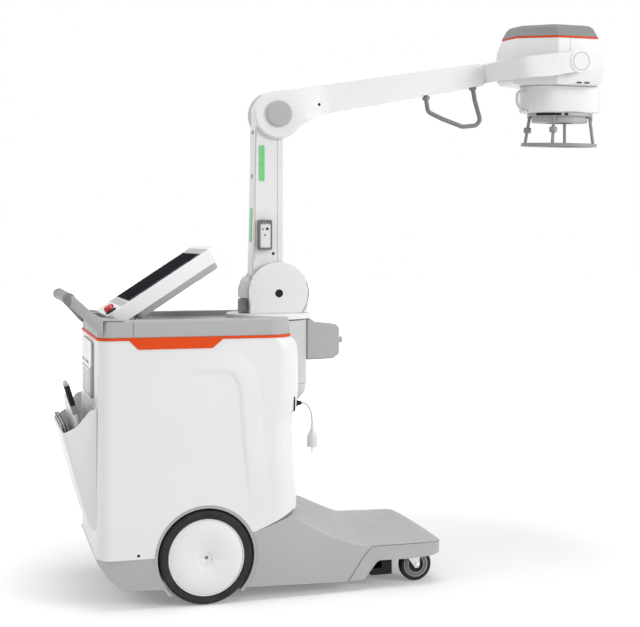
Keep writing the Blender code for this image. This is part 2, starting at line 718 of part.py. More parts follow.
def make_cord(machine, paint):
    """The mains lead: a gland on the body's front corner, a short hanging cord and its plug."""
    gland_y, gland_z, flange_r, gland_length = -0.186, 0.618, 0.0125, 0.022
    gland_x = body_front(gland_z + flange_r) + SEAT
    gland = turned([(0, gland_x), (flange_r, gland_x), (flange_r, gland_x + 0.006), (0.009, gland_x + 0.009),
                    (0.0060, gland_x + gland_length), (0, gland_x + gland_length)],
                   "X", (0, gland_y, gland_z), 20)
    machine.solid("cable_gland", "machine", gland, paint["black"])
    start = Vector((gland_x + gland_length + SEAT, gland_y, gland_z))
    end = start + Vector((0.038, 0, -0.0717))
    route = [start, start + Vector((0.011, 0, -0.0014)), start + Vector((0.0255, 0, -0.0145)),
             start + Vector((0.0352, 0, -0.039)), end]
    machine.tube("power_cord", "machine", smooth_path(route, 0.008), 0.0035, paint["cord"], 2)
    top = end.z - SEAT
    plug = turned([(0, top), (0.0055, top), (0.0065, top - 0.016), (0.016, top - 0.034),
                   (0.0185, top - 0.046), (0.0185, top - 0.076), (0, top - 0.076)],
                  "Z", (end.x, end.y, 0), 20)
    piece = machine.solid("mains_plug", "machine", plug, paint["cord"])
    for sign in (-1, 1):
        pin = turned([(0, top - 0.096), (0.0024, top - 0.096), (0.0024, top - 0.070), (0, top - 0.070)],
                     "Z", (end.x, end.y + sign * 0.0095, 0), 10)
        machine.add(piece, pin)


def make_wheel(machine, paint, side, sign):
    """A rear wheel: a tyre on a disc that turns on the body's axle stub."""
    body = side + "_wheel"
    half = TYRE_WIDTH / 2
    rim = WHEEL_RIM_R + SEAT
    tyre_profile = [(rim, -half + 0.002), (WHEEL_R - 0.009, -half), (WHEEL_R - 0.002, -half + 0.006),
                    (WHEEL_R, -half + 0.013), (WHEEL_R, half - 0.013), (WHEEL_R - 0.002, half - 0.006),
                    (WHEEL_R - 0.009, half), (rim, half - 0.002)]
    machine.solid(side + "_tyre", body, ring_body(tyre_profile, "Y", segments=48), paint["tyre"])
    face = half - 0.004
    back = -half + 0.004
    profile = [(0, face - 0.002), (0.020, face - 0.002), (0.023, face), (0.085, face + 0.001),
               (WHEEL_RIM_R - 0.010, face), (WHEEL_RIM_R, face - 0.006), (WHEEL_RIM_R, back),
               (WHEEL_RIM_R - 0.012, back), (0.100, back + 0.018), (0.045, back + 0.018),
               (0.040, back - 0.003), (HUB_BORE_R, back - 0.003), (HUB_BORE_R, back + HUB_DEPTH),
               (0, back + HUB_DEPTH)]
    disc = turned([(r, sign * h) for r, h in profile], "Y", segments=36)
    machine.solid(side + "_wheel_disc", body, disc, paint["white"])
    wheel_y = WHEEL_OUTER_Y - half
    inner = ARCH_INNER_Y + SEAT
    outer = wheel_y + back + HUB_DEPTH - RUN
    stub = [(0, inner), (0.032, inner), (0.032, inner + 0.010), (HUB_BORE_R - RUN, inner + 0.014),
            (HUB_BORE_R - RUN, outer), (0, outer)]
    axle = turned([(r, sign * y) for r, y in stub], "Y", (0, 0, WHEEL_R), 24)
    machine.solid(side + "_axle_stub", "machine", axle, paint["steel"])


def make_caster(machine, paint, side, sign):
    """A swivelling fork with its axle, and the wheel on it."""
    body = side + "_caster"
    top = BUMPER_TOP_Z - CASTER_PLATE - RUN - CASTER_R
    crown = CASTER_R + CLEAR
    leg = [(-0.036, crown + FORK_PLATE), (-0.034, crown - 0.008), (CASTER_TRAIL - 0.011, -0.002),
           (CASTER_TRAIL - 0.006, -0.010), (CASTER_TRAIL + 0.006, -0.010), (CASTER_TRAIL + 0.011, -0.002),
           (0.026, crown - 0.008), (0.026, crown + FORK_PLATE)]
    piece = machine.solid(side + "_caster_fork", body,
                          prism(leg, -FORK_HALF, -FORK_HALF + FORK_PLATE), paint["steel"])
    machine.add(piece, prism(leg, FORK_HALF - FORK_PLATE, FORK_HALF))
    bridge = prism(box_outline(-0.034, -FORK_HALF, 0.024, FORK_HALF, 0.006, 2), crown, crown + FORK_PLATE, "Z")
    machine.add(piece, bridge)
    machine.add(piece, turned([(0, crown + 0.001), (0.024, crown + 0.001), (0.024, top), (0, top)],
                              "Z", segments=20))
    machine.add(piece, turned([(0, -FORK_HALF - 0.003), (CASTER_AXLE_R, -FORK_HALF - 0.003),
                               (CASTER_AXLE_R, FORK_HALF + 0.003), (0, FORK_HALF + 0.003)],
                              "Y", (CASTER_TRAIL, 0, 0), 12))
    half = CASTER_WIDTH / 2
    bore = CASTER_AXLE_R + 0.0004
    profile = [(bore, -half - 0.002), (0.018, -half - 0.002), (0.036, -half + 0.004),
               (CASTER_R - 0.005, -half), (CASTER_R, -half + 0.007), (CASTER_R, half - 0.007),
               (CASTER_R - 0.005, half), (0.036, half - 0.004), (0.018, half + 0.002), (bore, half + 0.002)]
    machine.solid(side + "_caster_wheel", body + "_wheel", ring_body(profile, "Y", segments=28), paint["tyre"])


def make_arm_base(machine, paint):
    """The swivel collar on the column and the yoke that holds the lower arm."""
    base_z = COLLAR_TOP_Z
    low = TRAY_FLOOR_Z + CLEAR - base_z
    collar = turned([(0, TRAY_FLOOR_Z + SEAT - base_z), (BEARING_R, TRAY_FLOOR_Z + SEAT - base_z),
                     (BEARING_R, low), (COLLAR_R - 0.002, low), (COLLAR_R, low + 0.002),
                     (COLLAR_R, -0.003), (COLLAR_R - 0.003, 0), (0, 0)], "Z", segments=44)
    machine.solid("swivel_collar", "arm_base", collar, paint["white"])
    pivot_x = SHOULDER_X - SWIVEL_X
    pivot_z = SHOULDER_Z - base_z
    foot = SEAT
    spread = YOKE_R * 0.95
    cheek = [(pivot_x + spread, foot)] + arc(pivot_x, pivot_z, YOKE_R, -18, 198, 26) + [(pivot_x - spread, foot)]
    piece = machine.solid("shoulder_yoke", "arm_base", prism(cheek, -YOKE_OUTER_Y, YOKE_OUTER_Y), paint["white"])
    floor_top = pivot_z - KNUCKLE_R - CLEAR
    slot = [(-0.2, floor_top), (0.2, floor_top), (0.2, 0.3), (-0.2, 0.3)]
    machine.cut(piece, prism(slot, -YOKE_INNER_Y, YOKE_INNER_Y))
    # The rounded cover behind the arm's foot, between the cheeks
    hood = [(-0.101, 0.056), (-0.112, 0.040), (-0.119, 0.020), (-0.121, 0.0), (-0.121, -0.016),
            (-0.098, -0.016), (-0.0965, 0.056)]
    hood = [(pivot_x + x, pivot_z + z) for x, z in hood]
    machine.add(piece, prism(hood, -YOKE_INNER_Y - 0.004, YOKE_INNER_Y + 0.004))
    lock_x = pivot_x - spread - SEAT
    block = prism(box_outline(lock_x - 0.027, SEAT, lock_x, 0.051, 0.006, 2), -0.014, 0.014)
    soften(machine.solid("swivel_lock", "arm_base", block, paint["grey"]), 0.002)


def lower_rear(z):
    """x of the lower arm's rear face at a height above the shoulder."""
    share = (z - 0.040) / (LOWER_LENGTH - 0.090)
    return -LOWER_REAR_FOOT + (LOWER_REAR_FOOT - LOWER_REAR_HEAD) * share


def make_lower_arm(machine, paint):
    """The upright arm, its light strips and the remote control in its holder."""
    height = LOWER_LENGTH
    outline = [(LOWER_FRONT, -0.013), (LOWER_FRONT, height - 0.072)]
    outline += arc(ELBOW_AHEAD, height, ELBOW_KNUCKLE_R, -68, 180, 26)
    outline += [(lower_rear(height - 0.035), height - 0.035), (lower_rear(0.020), 0.020),
                (lower_rear(0.0) + 0.012, -0.013)]
    piece = machine.solid("lower_arm_beam", "lower_arm", prism(outline, -LOWER_HALF_Y, LOWER_HALF_Y), paint["white"])
    soften(piece, 0.004)
    machine.add(piece, turned([(0, -LOWER_HALF_Y), (KNUCKLE_R, -LOWER_HALF_Y), (KNUCKLE_R, LOWER_HALF_Y),
                               (0, LOWER_HALF_Y)], "Y", segments=32))
    reach = LOWER_HALF_Y + CLEAR - SEAT
    for x, z in ((0, 0), (ELBOW_AHEAD, height)):
        machine.add(piece, turned([(0, -reach), (PIVOT_BOSS_R, -reach), (PIVOT_BOSS_R, reach), (0, reach)],
                                  "Y", (x, 0, z), 24))
    near = -LOWER_HALF_Y - SEAT
    strip = prism(box_outline(-0.064, height - 0.2295, -0.045, height - 0.1084, 0.003, 2), near - 0.002, near)
    machine.solid("side_light", "lower_arm", strip, paint["light"])
    strip_low, strip_high = 0.175, 0.292
    strip = []
    for z, proud in ((strip_low, 0.0), (strip_high, 0.0), (strip_high, 0.002), (strip_low, 0.002)):
        strip.append((lower_rear(z) - SEAT - proud, z))
    machine.solid("rear_light", "lower_arm", prism(strip, -0.014, 0.014), paint["light"])
    outer = near - REMOTE_DEPTH
    holder = prism(box_outline(-0.072, 0.148, -0.024, 0.222, 0.006, 2), outer, near)
    holder = machine.solid("remote_holder", "lower_arm", holder, paint["black"])
    machine.cut(holder, prism(box_outline(-0.068, 0.153, -0.028, 0.300, 0.004, 2), outer + 0.003, near - 0.003))
    remote = prism(box_outline(-0.0675, 0.1535, -0.0285, 0.250, 0.006, 2), outer + 0.0035, near - 0.0035)
    soften(machine.solid("remote_control", "lower_arm", remote, paint["white"]), 0.002)


def beam_underside(s):
    """Height of the upper arm's lower edge at a distance from the elbow."""
    (near_s, near_n), (far_s, far_n) = BEAM_UNDERSIDE
    return near_n + (far_n - near_n) * (s - near_s) / (far_s - near_s)


def make_upper_arm(machine, paint):
    """The working arm: two cheeks at the elbow, the tapered beam and its grab handle."""
    outline = arc(0, 0, ELBOW_R, 84, 318, 28)
    outline += [(0.100, -0.040), (0.140, -0.026), *BEAM_UNDERSIDE, (UPPER_LENGTH, -0.006),
                (UPPER_LENGTH, 0.056), (UPPER_LENGTH - 0.009, 0.0653), (0.1965, 0.0737)]
    arm = prism(outline, -ELBOW_HALF_Y, ELBOW_HALF_Y)
    piece = machine.solid("upper_arm_beam", "upper_arm", arm, paint["white"])
    soften(piece, 0.006)
    for sign in (-1, 1):
        taper = [(0.086, sign * 0.09), (0.086, sign * (ELBOW_HALF_Y + 0.001)), (0.150, sign * (UPPER_HALF_Y + 0.004)),
                 (0.190, sign * UPPER_HALF_Y), (UPPER_LENGTH + 0.02, sign * (UPPER_HALF_Y - 0.004)),
                 (UPPER_LENGTH + 0.02, sign * 0.09)]
        machine.cut(piece, prism(taper, -0.2, 0.2, "Z"))
    slot_half = LOWER_HALF_Y + CLEAR
    slot_r = ELBOW_KNUCKLE_R + CLEAR + 0.001
    machine.cut(piece, turned([(0, -slot_half), (slot_r, -slot_half), (slot_r, slot_half), (0, slot_half)],
                              "Y", segments=44))
    notch = [(-0.10, -0.12), (0.0, 0.0), (0.06, -0.0207), (0.120, -0.0207), (0.128, -0.12)]
    machine.cut(piece, prism(notch, -slot_half, slot_half))
    cap = [(0, 0), (ELBOW_CAP_R, 0), (ELBOW_CAP_R, 0.007), (ELBOW_CAP_R - 0.003, 0.010), (0, 0.0115)]
    for side, sign in (("right", -1), ("left", 1)):
        face = sign * (ELBOW_HALF_Y + SEAT)
        disc = turned([(r, face + sign * h) for r, h in cap], "Y", segments=36)
        machine.solid(side + "_elbow_cap", "upper_arm", disc, paint["grey"])
    # The grab handle's corners: how far behind the beam's end, height
    end = UPPER_LENGTH
    rear_s, front_s = end - 0.205, end - 0.020
    corners = ((rear_s, beam_underside(rear_s) - RUN), (end - 0.2064, -0.0746), (end - 0.157, -0.1080),
               (end - 0.085, -0.148), (end - 0.032, -0.152), (end - 0.0115, -0.1356), (front_s, -0.060),
               (front_s, beam_underside(front_s) - RUN))
    loop = rounded([(s, n, 0) if index in (0, len(corners) - 1) else (s, n, 0.018)
                    for index, (s, n) in enumerate(corners)], 2)
    machine.tube("arm_handle", "upper_arm", [Vector((s, 0, n)) for s, n in loop], HANDLE_TUBE_R, paint["dark_grey"])


def make_fork(machine, paint):
    """The one-sided fork that turns on the arm's end and carries the head."""
    ring = turned([(0, RUN), (ROLL_RING_R, RUN), (ROLL_RING_R + 0.001, RUN + 0.003),
                   (ROLL_RING_R, ROLL_RING_LENGTH), (0, ROLL_RING_LENGTH)], "X", segments=36)
    machine.solid("roll_ring", "fork", ring, paint["grey"])
    start = ROLL_RING_LENGTH + SEAT
    end = FORK_REACH + 0.041
    plan = rounded([(start, 0.030, 0.008), (start, -0.060, 0.050), (0.095, -FORK_OUTER_Y, 0.060),
                    (end, -FORK_OUTER_Y, 0.010), (end, -FORK_INNER_Y, 0.006),
                    (0.140, -FORK_INNER_Y, 0.050), (0.066, -0.050, 0.030), (0.058, 0.030, 0.010)], 3)
    piece = machine.solid("head_fork", "fork", prism(plan, -0.1, 0.1, "Z"), paint["white"])
    side = [(start, -0.032), (0.070, -0.031), (0.190, -0.0423), (end, -0.0423), (end, 0.0295),
            (0.210, 0.034), (0.066, 0.0395), (start, 0.034)]
    machine.combine(piece, prism(side, -0.4, 0.4), "INTERSECT")
    soften(piece, 0.006)
    disc_y = FORK_OUTER_Y + 0.004
    boss = turned([(0, -disc_y), (PIVOT_DISC_R - 0.004, -disc_y), (PIVOT_DISC_R, -FORK_OUTER_Y),
                   (PIVOT_DISC_R, -FORK_OUTER_Y + 0.014), (0.030, -FORK_INNER_Y - 0.004),
                   (0.030, -HEAD_HALF_Y - SEAT), (0, -HEAD_HALF_Y - SEAT)], "Y", (FORK_REACH, 0, -PIVOT_DROP), 36)
    machine.add(piece, boss)


def head_plan(rear, front, inset):
    """Plan outline of the head about the tilt pivot: a long octagon, narrow at the rear."""
    half = [(rear, 0.071 - inset), (-0.064, HEAD_HALF_Y - inset), (front, HEAD_HALF_Y - inset),
            (front + 0.030, 0.095 - inset)]
    outline = half + [(x, -y) for x, y in reversed(half)]
    return rounded([(x, y, 0.014) for x, y in outline], 2)


def make_head(machine, paint):
    """The tube head: white lower housing, orange band and grey cap."""
    band_low = HEAD_TRIM - 0.006
    # height, how far inside the rear end, front facet of the plan, inset of the plan
    lower = ((HEAD_LOW, 0.019, 0.106, 0.010), (HEAD_LOW + 0.012, 0.008, 0.112, 0.003),
             (-0.015, 0.0, 0.120, 0.0), (0.045, 0.006, 0.114, 0.001), (band_low - SEAT, 0.023, 0.095, 0.004))
    trim = ((band_low, 0.024, 0.094, 0.003), (HEAD_TRIM, 0.024, 0.094, 0.003))
    upper = ((HEAD_TRIM + SEAT, 0.023, 0.094, 0.004), (HEAD_TOP - 0.012, 0.037, 0.080, 0.016),
             (HEAD_TOP - 0.003, 0.046, 0.070, 0.024), (HEAD_TOP, 0.058, 0.058, 0.036))
    for name, sections, colour in (("tube_housing", lower, "white"), ("tube_trim", trim, "orange"),
                                   ("tube_cap", upper, "grey")):
        rings = []
        for z, inside, front, inset in sections:
            rings.append([(x, y, z) for x, y in head_plan(HEAD_REAR + inside, front, inset)])
        machine.solid(name, "head", loft(rings), paint[colour])


def make_collimator(machine, paint):
    """The beam limiter under the head, with its lens base and its spacer frame."""
    top = -CLEAR
    low = COLLIMATOR_LOW
    plan = rounded([(-0.143, -0.110, 0.085), (0.113, -0.110, 0.020), (0.113, 0.110, 0.020),
                    (-0.143, 0.110, 0.085)], 4)
    piece = machine.solid("collimator_box", "collimator", prism(plan, low, top, "Z"), paint["white"])
    soften(piece, 0.005)
    machine.add(piece, turned([(0, top - 0.002), (0.096, top - 0.002), (0.096, -RUN), (0, -RUN)], "Z", segments=36))
    base_top = low - SEAT
    flange_low = base_top - 0.010
    base_low = base_top - 0.034
    disc_r = FLANGE_R - 0.016
    base = turned([(0, base_low), (disc_r - 0.003, base_low), (disc_r, base_low + 0.004), (disc_r, flange_low),
                   (FLANGE_R, flange_low), (FLANGE_R, base_top), (0, base_top)], "Z", segments=40)
    machine.solid("lens_base", "collimator", base, paint["grey"])
    ring_high = SPACER_LOW + 0.012
    frame = ring_body(ring_profile(SPACER_R - 0.018, SPACER_R, SPACER_LOW, ring_high), "Z", segments=44)
    piece = machine.solid("spacer_frame", "collimator", frame, paint["dark_grey"])
    post = 0.006
    for quarter in range(4):
        angle = math.radians(45 + SPACER_TURN_DEG + 90 * quarter)
        rings = []
        for radius, z in ((SPACER_R - 0.012, SPACER_LOW + 0.003), (FLANGE_R - 0.007, flange_low - SEAT)):
            rings.append([(radius * math.cos(angle) + a, radius * math.sin(angle) + b, z)
                          for a, b in arc(0, 0, post, 0, 360, 10)[:-1]])
        machine.add(piece, loft(rings))


def make_monitor(machine, paint):
    """The tilting touch screen over the deck."""
    half = MONITOR_HALF_Y
    low, high, face = MONITOR_LOW, MONITOR_HIGH, MONITOR_FACE
    wall = HINGE_R + SEAT
    back_half = half - 0.020
    back = prism(box_outline(HINGE_R + 0.002, -back_half, high - 0.020, back_half, 0.016, 3),
                 -0.0105, HINGE_R, "Z")
    soften(machine.solid("monitor_back", "monitor", back, paint["grey"]), 0.003)
    profile = [(low, face), (low + 0.0034, face - 0.0097), (low + 0.0444, wall), (high - 0.008, wall),
               (high, wall + 0.007), (high, face)]
    piece = machine.solid("monitor_housing", "monitor", prism(profile, -half, half), paint["white"])
    machine.combine(piece, prism(box_outline(low - 0.001, -half, high + 0.001, half, 0.022, 4),
                                 -0.1, 0.1, "Z"), "INTERSECT")
    soften(piece, 0.004)
    screen_low, screen_high = low + 0.087, high - 0.048
    screen_half = half - 0.016
    machine.cut(piece, prism(box_outline(screen_low, -screen_half, screen_high, screen_half, 0.004, 2),
                             face - 0.004, face + 0.02, "Z"))
    screen = prism(box_outline(screen_low + RUN, -screen_half + RUN, screen_high - RUN, screen_half - RUN,
                               0.0035, 2), face - 0.004 + SEAT, face - 0.0005, "Z")
    machine.solid("monitor_screen", "monitor", screen, paint["screen"])
    seat = face + SEAT
    button = turned([(0, seat), (0.012, seat), (0.012, seat + 0.008), (0.017, seat + 0.010),
                     (0.017, seat + 0.018), (0.012, seat + 0.023), (0, seat + 0.024)],
                    "Z", (low + 0.023, 0.055 - half, 0), 22)
    machine.solid("stop_button", "monitor", button, paint["red"])
    key = turned([(0, seat), (0.010, seat), (0.010, seat + 0.009), (0.008, seat + 0.011), (0, seat + 0.011)],
                 "Z", (low + 0.020, 0.115 - half, 0), 18)
    machine.solid("key_switch", "monitor", key, paint["black"])
    hinge_low = TRAY_FLOOR_Z + SEAT
    for name, sign in (("right_monitor_bracket", -1), ("left_monitor_bracket", 1)):
        ear = [(MONITOR_X + HINGE_R, hinge_low)] + arc(MONITOR_X, MONITOR_Z, HINGE_R, 0, 180, 8)
        ear += [(MONITOR_X - 0.018, hinge_low)]
        bm = prism(ear, 0.080, 0.120)
        machine.solid(name, "machine", bm if sign > 0 else mirror_y(bm), paint["grey"])


def main():
    clear_scene()
    paint = make_materials()
    machine = Machine()
    make_frames(machine)
    make_platform(machine, paint)
    make_bumper(machine, paint)
    make_caster_frame(machine, paint)
    make_body(machine, paint)
    make_deck(machine, paint)
    make_column(machine, paint)
    make_push_handle(machine, paint)
    make_rear(machine, paint)
    make_detectors(machine, paint)
    make_cord(machine, paint)
    for side, sign in (("right", -1), ("left", 1)):
        make_wheel(machine, paint, side, sign)
        make_caster(machine, paint, side, sign)
    make_arm_base(machine, paint)
    make_lower_arm(machine, paint)
    make_upper_arm(machine, paint)
    make_fork(machine, paint)
    make_head(machine, paint)
    make_collimator(machine, paint)
    make_monitor(machine, paint)


main()
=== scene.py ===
"""Looks of the mobile x-ray machine: finishes, seams and small trim, with floor, light and camera.

Pieces are modelled in the frames of the bodies at rest. The machine's own frame has x = 0 at the
rear axle, y = 0 in the middle plane, z = 0 on the floor and +X to the front.
"""
import json
import math

import bmesh
import bpy
from mathutils import Matrix, Vector


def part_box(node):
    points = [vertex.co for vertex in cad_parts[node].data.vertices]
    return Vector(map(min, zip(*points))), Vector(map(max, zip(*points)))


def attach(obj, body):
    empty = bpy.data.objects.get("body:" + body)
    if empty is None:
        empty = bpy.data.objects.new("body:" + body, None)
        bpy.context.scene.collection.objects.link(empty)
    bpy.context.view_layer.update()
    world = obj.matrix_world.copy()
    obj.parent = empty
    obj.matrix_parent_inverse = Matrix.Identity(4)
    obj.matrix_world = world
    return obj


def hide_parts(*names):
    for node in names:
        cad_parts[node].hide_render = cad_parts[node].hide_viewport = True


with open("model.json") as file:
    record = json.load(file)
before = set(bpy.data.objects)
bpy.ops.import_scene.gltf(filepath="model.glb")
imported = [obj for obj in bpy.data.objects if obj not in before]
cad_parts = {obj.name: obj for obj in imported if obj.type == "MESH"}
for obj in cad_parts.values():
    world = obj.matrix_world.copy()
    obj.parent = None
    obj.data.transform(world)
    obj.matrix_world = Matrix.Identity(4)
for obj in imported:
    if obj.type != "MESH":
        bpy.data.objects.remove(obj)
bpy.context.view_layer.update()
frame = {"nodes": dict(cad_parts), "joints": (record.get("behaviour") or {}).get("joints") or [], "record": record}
nodes = frame["nodes"]

# Camera: where it stands, its heading and its lens, for a picture of 640 x 627
CAMERA_PLACE = (-1.2885, -4.205, 1.160)
CAMERA_YAW_DEG = 16.0
CAMERA_LENS = 70.3
CAMERA_SHIFT_Y = -0.1148

# Light
WORLD_LIGHT = 0.55
FLOOR_COLOUR = 0.80
FLOOR_GLOW_NEAR = 0.19
FLOOR_GLOW_FAR = 1.0

# Lamps: name, place, the point that it faces, diameter and power
LAMPS = (("key", (6.6, -6.1, 3.6), (0, 0, 0.9), 4.0, 390),
         ("fill", (-4.6, -0.8, 3.4), (0, 0, 0.9), 3.0, 50),
         ("top", (0, -1.0, 9.0), (0, 0, 0), 4.0, 200))

# How the arm stands at rest
ARM_RISE_DEG = 10.4
HEAD_ROLL_DEG = 3.4
MONITOR_RISE_DEG = 33.1

# Places of faces that trim lies on: X from the rear axle, Y from the middle plane, Z from the floor
BODY_SIDE_Y = 0.285
REAR_FACE_X = -0.3503
PLATFORM_HALF_Y = 0.262
WHEEL_CENTRE_Z = 0.150
WHEEL_FACE_Y = 0.287
PUSH_BAR_Z = 0.9735
LOWER_ARM_SIDE_Y = 0.038
HEAD_SIDE_Y = 0.165
MONITOR_FACE = 0.0597

# Directions of the spacer frame's four posts round the beam
POST_ANGLES_DEG = (-37.5, 52.5, 142.5, 232.5)

# Points this close are joined, faces this flat become one, and edges sharper than these stay sharp
WELD_DISTANCE = 0.00002
FLAT_DEG = 0.4
NODE_SHARP_DEG = 36
PIECE_SHARP_DEG = 40

JOINT_AT = {joint["child"]: Vector(joint["pos_m"]) for joint in frame["joints"]}
RISE = Matrix.Rotation(-math.radians(ARM_RISE_DEG), 4, "Y")
ROLL = Matrix.Rotation(math.radians(HEAD_ROLL_DEG), 4, "X")
TILT = Matrix.Rotation(-math.radians(MONITOR_RISE_DEG), 4, "Y")


def make_frames():
    """The frame of each body at rest, by body name."""
    level = Matrix.Identity(4)
    turns = {"upper_arm": RISE, "fork": RISE @ ROLL, "head": RISE @ ROLL @ RISE.inverted(),
             "collimator": RISE @ ROLL @ RISE.inverted(), "monitor": TILT}
    table = {name: Matrix.Translation(place) @ turns.get(name, level) for name, place in JOINT_AT.items()}
    table["root"] = Matrix.Translation((JOINT_AT["right_wheel"].x, 0, 0))
    return table


FRAMES = make_frames()


# Materials

class Surface:
    """A node material on a Principled shader, with its patterns laid in object coordinates."""

    def __init__(self, name, roughness=0.45, metallic=0.0):
        self.material = bpy.data.materials.new(name)
        self.material.use_nodes = True
        self.tree = self.material.node_tree
        self.shader = self.tree.nodes["Principled BSDF"]
        self.shader.inputs["Roughness"].default_value = roughness
        self.shader.inputs["Metallic"].default_value = metallic
        self.coords = self.tree.nodes.new("ShaderNodeTexCoord").outputs["Object"]

    def node(self, kind, **values):
        made = self.tree.nodes.new(kind)
        for key, value in values.items():
            setattr(made, key, value)
        return made

    def link(self, output, target):
        self.tree.links.new(output, target)

    def noise(self, scale, detail=2.0, stretch=(1, 1, 1)):
        place = self.node("ShaderNodeMapping")
        place.inputs["Scale"].default_value = stretch
        self.link(self.coords, place.inputs["Vector"])
        made = self.node("ShaderNodeTexNoise")
        made.inputs["Scale"].default_value = scale
        made.inputs["Detail"].default_value = detail
        self.link(place.outputs["Vector"], made.inputs["Vector"])
        return made.outputs["Fac"]

    def math(self, operation, first, second=0.0):
        made = self.node("ShaderNodeMath", operation=operation)
        for socket, value in zip(made.inputs, (first, second)):
            if isinstance(value, (int, float)):
                socket.default_value = value
            else:
                self.link(value, socket)
        return made.outputs[0]

    def spread(self, value, from_low, from_high, to_low, to_high):
        made = self.node("ShaderNodeMapRange")
        for name, number in (("From Min", from_low), ("From Max", from_high),
                             ("To Min", to_low), ("To Max", to_high)):
            made.inputs[name].default_value = number
        self.link(value, made.inputs["Value"])
        return made.outputs["Result"]

    def mix(self, share, first, second):
        made = self.node("ShaderNodeMix", data_type="RGBA")
        for socket, value in ((made.inputs["Factor"], share), (made.inputs["A"], first),
                              (made.inputs["B"], second)):
            if isinstance(value, (int, float)):
                socket.default_value = value
            elif isinstance(value, tuple):
                socket.default_value = (*value, 1.0)
            else:
                self.link(value, socket)
        return made.outputs["Result"]

    def clouded(self, pattern, colour, darker, lighter):
        """A colour that wanders between two of its shades with a pattern."""
        return self.mix(self.spread(pattern, 0.3, 0.7, 0, 1), shade(colour, darker), shade(colour, lighter))

    def axis(self, name):
        split = self.node("ShaderNodeSeparateXYZ")
        self.link(self.coords, split.inputs["Vector"])
        return split.outputs[name]

    def colour(self, value):
        self.link(value, self.shader.inputs["Base Color"])

    def rough(self, value):
        self.link(value, self.shader.inputs["Roughness"])

    def bump(self, height, strength, distance):
        made = self.node("ShaderNodeBump")
        made.inputs["Strength"].default_value = strength
        made.inputs["Distance"].default_value = distance
        self.link(height, made.inputs["Height"])
        self.link(made.outputs["Normal"], self.shader.inputs["Normal"])


def shade(colour, factor):
    return tuple(min(1.0, part * factor) for part in colour)


def moulded(name, colour, roughness, grain=0.08, coat=0.0, variation=0.03, dust=0.0, gloss=0.5):
    """Painted or moulded plastic: slight clouding, a fine leathery grain and uneven gloss."""
    made = Surface(name, roughness)
    tone = made.clouded(made.noise(3.5, 3.0), colour, 1 - variation, 1 + variation)
    speckle = made.noise(420, 1.0)
    tone = made.mix(made.spread(speckle, 0.35, 0.75, 0, 0.35), tone, shade(colour, 1 - 2 * variation))
    if dust > 0:
        low = made.spread(made.axis("Z"), 0.02, 0.22, dust, 0.0)
        patch = made.math("MULTIPLY", low, made.noise(9, 4.0))
        tone = made.mix(patch, tone, (0.36, 0.34, 0.31))
    made.colour(tone)
    smudge = made.noise(16, 4.0)
    made.rough(made.spread(smudge, 0.3, 0.7, roughness - 0.07, roughness + 0.09))
    made.bump(made.noise(1300, 2.0), grain, 0.0003)
    made.shader.inputs["Specular IOR Level"].default_value = gloss
    made.shader.inputs["Coat Weight"].default_value = coat
    made.shader.inputs["Coat Roughness"].default_value = 0.25
    return made.material


def rubber(name, colour, tread=False):
    """Dull rubber with dusty patches, and a tyre's tread where asked."""
    made = Surface(name, 0.72)
    tone = made.clouded(made.noise(14, 4.0), colour, 0.75, 1.35)
    dusty = made.math("MULTIPLY", made.spread(made.noise(60, 5.0), 0.45, 0.8, 0, 1), 0.12)
    made.colour(made.mix(dusty, tone, (0.10, 0.095, 0.09)))
    made.rough(made.spread(made.noise(30, 3.0), 0.3, 0.7, 0.62, 0.85))
    made.shader.inputs["Specular IOR Level"].default_value = 0.25
    height = made.noise(1600, 2.0)
    if tread:
        height = made.math("ADD", made.math("MULTIPLY", height, 0.12), tread_pattern(made))
        made.bump(height, 0.7, 0.0016)
    else:
        made.bump(height, 0.25, 0.0003)
    return made.material


def tread_pattern(made):
    """Grooves round the tyre and fine cross sipes, only on the running face."""
    groove_pitch, middle_y, sipe_count = 0.0115, WHEEL_FACE_Y - 0.022, 96
    axle = FRAMES["root"].translation.x
    across_x = made.math("SUBTRACT", made.axis("X"), axle)
    across_z = made.math("SUBTRACT", made.axis("Z"), WHEEL_CENTRE_Z)
    angle = made.math("ARCTAN2", across_z, across_x)
    radius = made.math("SQRT", made.math("ADD", made.math("MULTIPLY", across_x, across_x),
                                         made.math("MULTIPLY", across_z, across_z)))
    on_face = made.spread(radius, 0.1462, 0.1475, 0, 1)
    aside = made.math("SUBTRACT", made.math("ABSOLUTE", made.axis("Y")), middle_y)
    grooves = made.math("COSINE", made.math("MULTIPLY", aside, 2 * math.pi / groove_pitch))
    grooves = made.spread(grooves, -1.0, -0.6, 0, 1)
    sipes = made.math("COSINE", made.math("MULTIPLY", angle, sipe_count))
    sipes = made.spread(sipes, -1.0, -0.75, 0.3, 1)
    return made.math("MULTIPLY", made.math("MULTIPLY", grooves, sipes), on_face)


def metal(name, colour, roughness, brushed=(1, 1, 1), spangle=0.0):
    """Brushed metal, or zinc plate where spangle is above 0."""
    made = Surface(name, roughness, 1.0)
    streaks = made.noise(220, 3.0, brushed)
    tone = made.clouded(streaks, colour, 0.86, 1.1)
    if spangle > 0:
        patches = made.spread(made.noise(90, 1.0), 0.4, 0.6, 0, spangle)
        tone = made.mix(patches, tone, shade(colour, 0.6))
    made.colour(tone)
    made.rough(made.spread(made.noise(130, 3.0, brushed), 0.3, 0.7, roughness - 0.08, roughness + 0.12))
    made.bump(streaks, 0.12, 0.0002)
    return made.material


